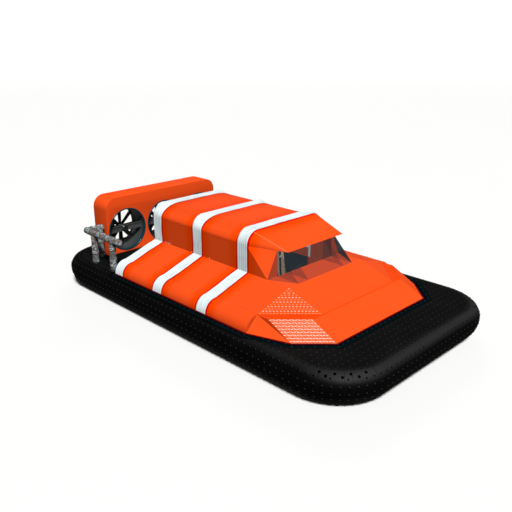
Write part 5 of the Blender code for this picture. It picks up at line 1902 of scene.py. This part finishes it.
BUCKLE_PLACE = Vector((0, SEAT_LOW.y + 0.15, SEAT_HIGH.z + 0.012))
faces_out = Vector((0, -1, LEAN)).normalized()
straps = []
for side in (1, -1):
    line = [(Vector((side * 0.10, back_front(BACK_HIGH.z) + 0.075, BACK_HIGH.z + 0.002)), UP),
            (Vector((side * 0.10, back_front(BACK_HIGH.z) + 0.02, BACK_HIGH.z + 0.002)),
             (UP + faces_out * 0.5).normalized())]
    for step in range(9):
        height = BACK_HIGH.z - 0.03 - step * 0.065
        line.append((Vector((side * (0.10 - 0.006 * step), back_front(height, 0.006), height)),
                     faces_out))
    line.append((BUCKLE_PLACE + Vector((side * 0.03, 0.05, 0.006)), (UP + faces_out).normalized()))
    line.append((BUCKLE_PLACE + Vector((side * 0.012, 0.01, 0)), UP))
    straps.append(ribbon(line, 0.046, 0.003))
    lap = [(side * (0.01 + 0.022 * step), 0.006 * step, -0.0008 * step * step) for step in range(9)]
    straps.append(ribbon([(place, UP) for place in steps_from(BUCKLE_PLACE, *lap)], 0.044, 0.003))
keep(join(straps), "seat_straps", "craft", STRAP, angle=50)
buckle = block(*steps_from(BUCKLE_PLACE, (-0.032, -0.028, 0), (0.032, 0.028, 0.014)))
crown(buckle, 0.010, 0.004)
keep(soften(buckle, 0.003, 3, 20), "seat_buckle", "craft", BUCKLE)
adjusters = [soften(block((side * 0.082 - 0.027, back_front(1.08, 0.018), 1.07),
                          (side * 0.082 + 0.027, back_front(1.08, 0.006), 1.10)), 0.003, 2)
             for side in (1, -1)]
keep(join(adjusters), "strap_adjusters", "craft", BUCKLE)
print(len(straps), "straps")

# %% [markdown]
# The helm is a console with three round dials facing the seat, a three-spoked wheel on its
# column and a thrust lever. The wheel is a torus with spokes and a hub; the dials are turned bezels
# with bare faces and needles.

# %% Helm
CONSOLE_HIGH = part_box("helm_console")[1]
WHEEL_HUB = Vector((0, CONSOLE_HIGH.y + 0.13, at(0, 0, 2).z - 0.14))
WHEEL_TILT = math.radians(-65)
WHEEL_RADIUS, WHEEL_TUBE = 0.165, 0.013
wheel_turn = Matrix.Translation(WHEEL_HUB) @ Matrix.Rotation(WHEEL_TILT, 4, "X")

clear_selection()
bpy.ops.mesh.primitive_torus_add(major_segments=96, minor_segments=14, major_radius=WHEEL_RADIUS,
                                 minor_radius=WHEEL_TUBE, location=WHEEL_HUB,
                                 rotation=(WHEEL_TILT, 0, 0))
wheel = [bpy.context.object]
settle(wheel[0])
for spoke in range(3):
    turn = 2 * math.pi * spoke / 3 + math.pi / 2
    rim = wheel_turn @ Vector((math.cos(turn) * WHEEL_RADIUS, math.sin(turn) * WHEEL_RADIUS, 0))
    wheel.append(soften(rod(wheel_turn @ Vector((0, 0, 0.004)), rim, 0.009, 20), 0.002, 1))
hub_ends = [wheel_turn @ Vector((0, 0, height)) for height in (-0.018, 0.022)]
wheel.append(soften(rod(*hub_ends, 0.040, 40), 0.008, 4))
keep(join(wheel), "helm_wheel_moulding", "craft", MOULDED_BLACK, ["helm_wheel"], angle=50)
column_end = WHEEL_HUB + Vector((0, -0.14, -0.14 * math.tan(math.radians(25))))
keep(soften(rod(column_end, WHEEL_HUB, 0.017), 0.002), "helm_column", "craft", STAINLESS)

bezels, faces_of, needles = [], [], []
for across in (-0.20, 0.0, 0.20):
    centre = Vector((across, CONSOLE_HIGH.y, CONSOLE_HIGH.z - 0.075))
    profile = [(0.040, 0.0003), (0.048, 0.0003), (0.048, 0.008), (0.044, 0.012), (0.040, 0.009)]
    bezels.append(turned(profile, centre, 48))
    faces_of.append(rod(*steps_from(centre, (0, 0.0005, 0), (0, 0.004, 0)), 0.0398, 48))
    needle = block(*steps_from(centre, (-0.0015, 0.0045, -0.006), (0.0015, 0.006, 0.030)))
    cap = rod(*steps_from(centre, (0, 0.0042, 0), (0, 0.008, 0)), 0.004, 16)
    needles += [soften(needle, 0.0004, 1), soften(cap, 0.0005, 1)]
keep(join(bezels), "dial_bezels", "craft", STAINLESS, angle=40)
keep(join(faces_of), "dial_faces", "craft", BUCKLE, angle=40)
keep(join(needles), "dial_needles", "craft", RED_FOOT_SHADE_AND_NEEDLES)

lever_foot = Vector((0.26, CONSOLE_HIGH.y, CONSOLE_HIGH.z - 0.19))
LEVER_PARTS = (  # from, to, radius, sides and easing of the foot, the stalk and the knob
    ((0, 0, 0), (0, 0.02, 0), 0.022, 32, (0.003,)),
    ((0, 0.012, 0), (0, 0.085, 0.055), 0.006, 20, (0.001,)),
    ((0, 0.075, 0.046), (0, 0.105, 0.072), 0.014, 24, (0.006, 4)))
lever = [soften(rod(*steps_from(lever_foot, start, end), radius, sides), *easing)
         for start, end, radius, sides, easing in LEVER_PARTS]
keep(join(lever), "thrust_lever", "craft", MOULDED_BLACK, angle=50)
print("wheel at", [round(v, 3) for v in WHEEL_HUB])

# %% [markdown]
# Solids whose flat shape is already right stay, and only get a finish: the platform, the skids, the
# rudder rails, the rear bulkhead and door, and every pane of glass.

# %% Finishes for the solids that stay
FINISHES = {
    "platform": DECK_RUBBER,
    "landing_skid_port": MOULDED_BLACK,
    "landing_skid_starboard": MOULDED_BLACK,
    "rudder_rail_lower": BEAM_ENAMEL,
    "rudder_rail_upper": BEAM_ENAMEL,
    "rear_bulkhead": GELCOAT,
    "rear_door": GELCOAT,
    "dash_shelf": SHELF_PAINT,
    "engine_block": CAST_IRON,
    "seat_shell": MOULDED_BLACK,
    "helm_console": TEAL_TRIM,
    "corner_pane_port": TEAL_PANE,
    "corner_pane_starboard": GLAZING,
    "door_window": GLAZING,
    "windscreen_centre": GLAZING,
    "windscreen_port": GLAZING,
    "windscreen_starboard": GLAZING,
}
for node, material in FINISHES.items():
    thing = frame["nodes"][node]
    thing.data.materials.clear()
    thing.data.materials.append(material)
print(len(FINISHES), "solids finished")

# %% [markdown]
# The studio light is so even that the hull's panels throw no shadows on each other and don't tint
# each other. Three switches on each orange panel, band, pane and wall lining give that: it blocks no
# light, and it isn't seen by the light that other surfaces scatter or mirror.

# %% Light passes the panels
LIGHT_PASSES = {GELCOAT, WEBBING, GLAZING, TEAL_PANE, WALL_LINING, WHITE_LINING}
for thing in bpy.context.scene.objects:
    if thing.type == "MESH" and any(slot.material in LIGHT_PASSES for slot in thing.material_slots):
        thing.visible_shadow = thing.visible_diffuse = thing.visible_glossy = False
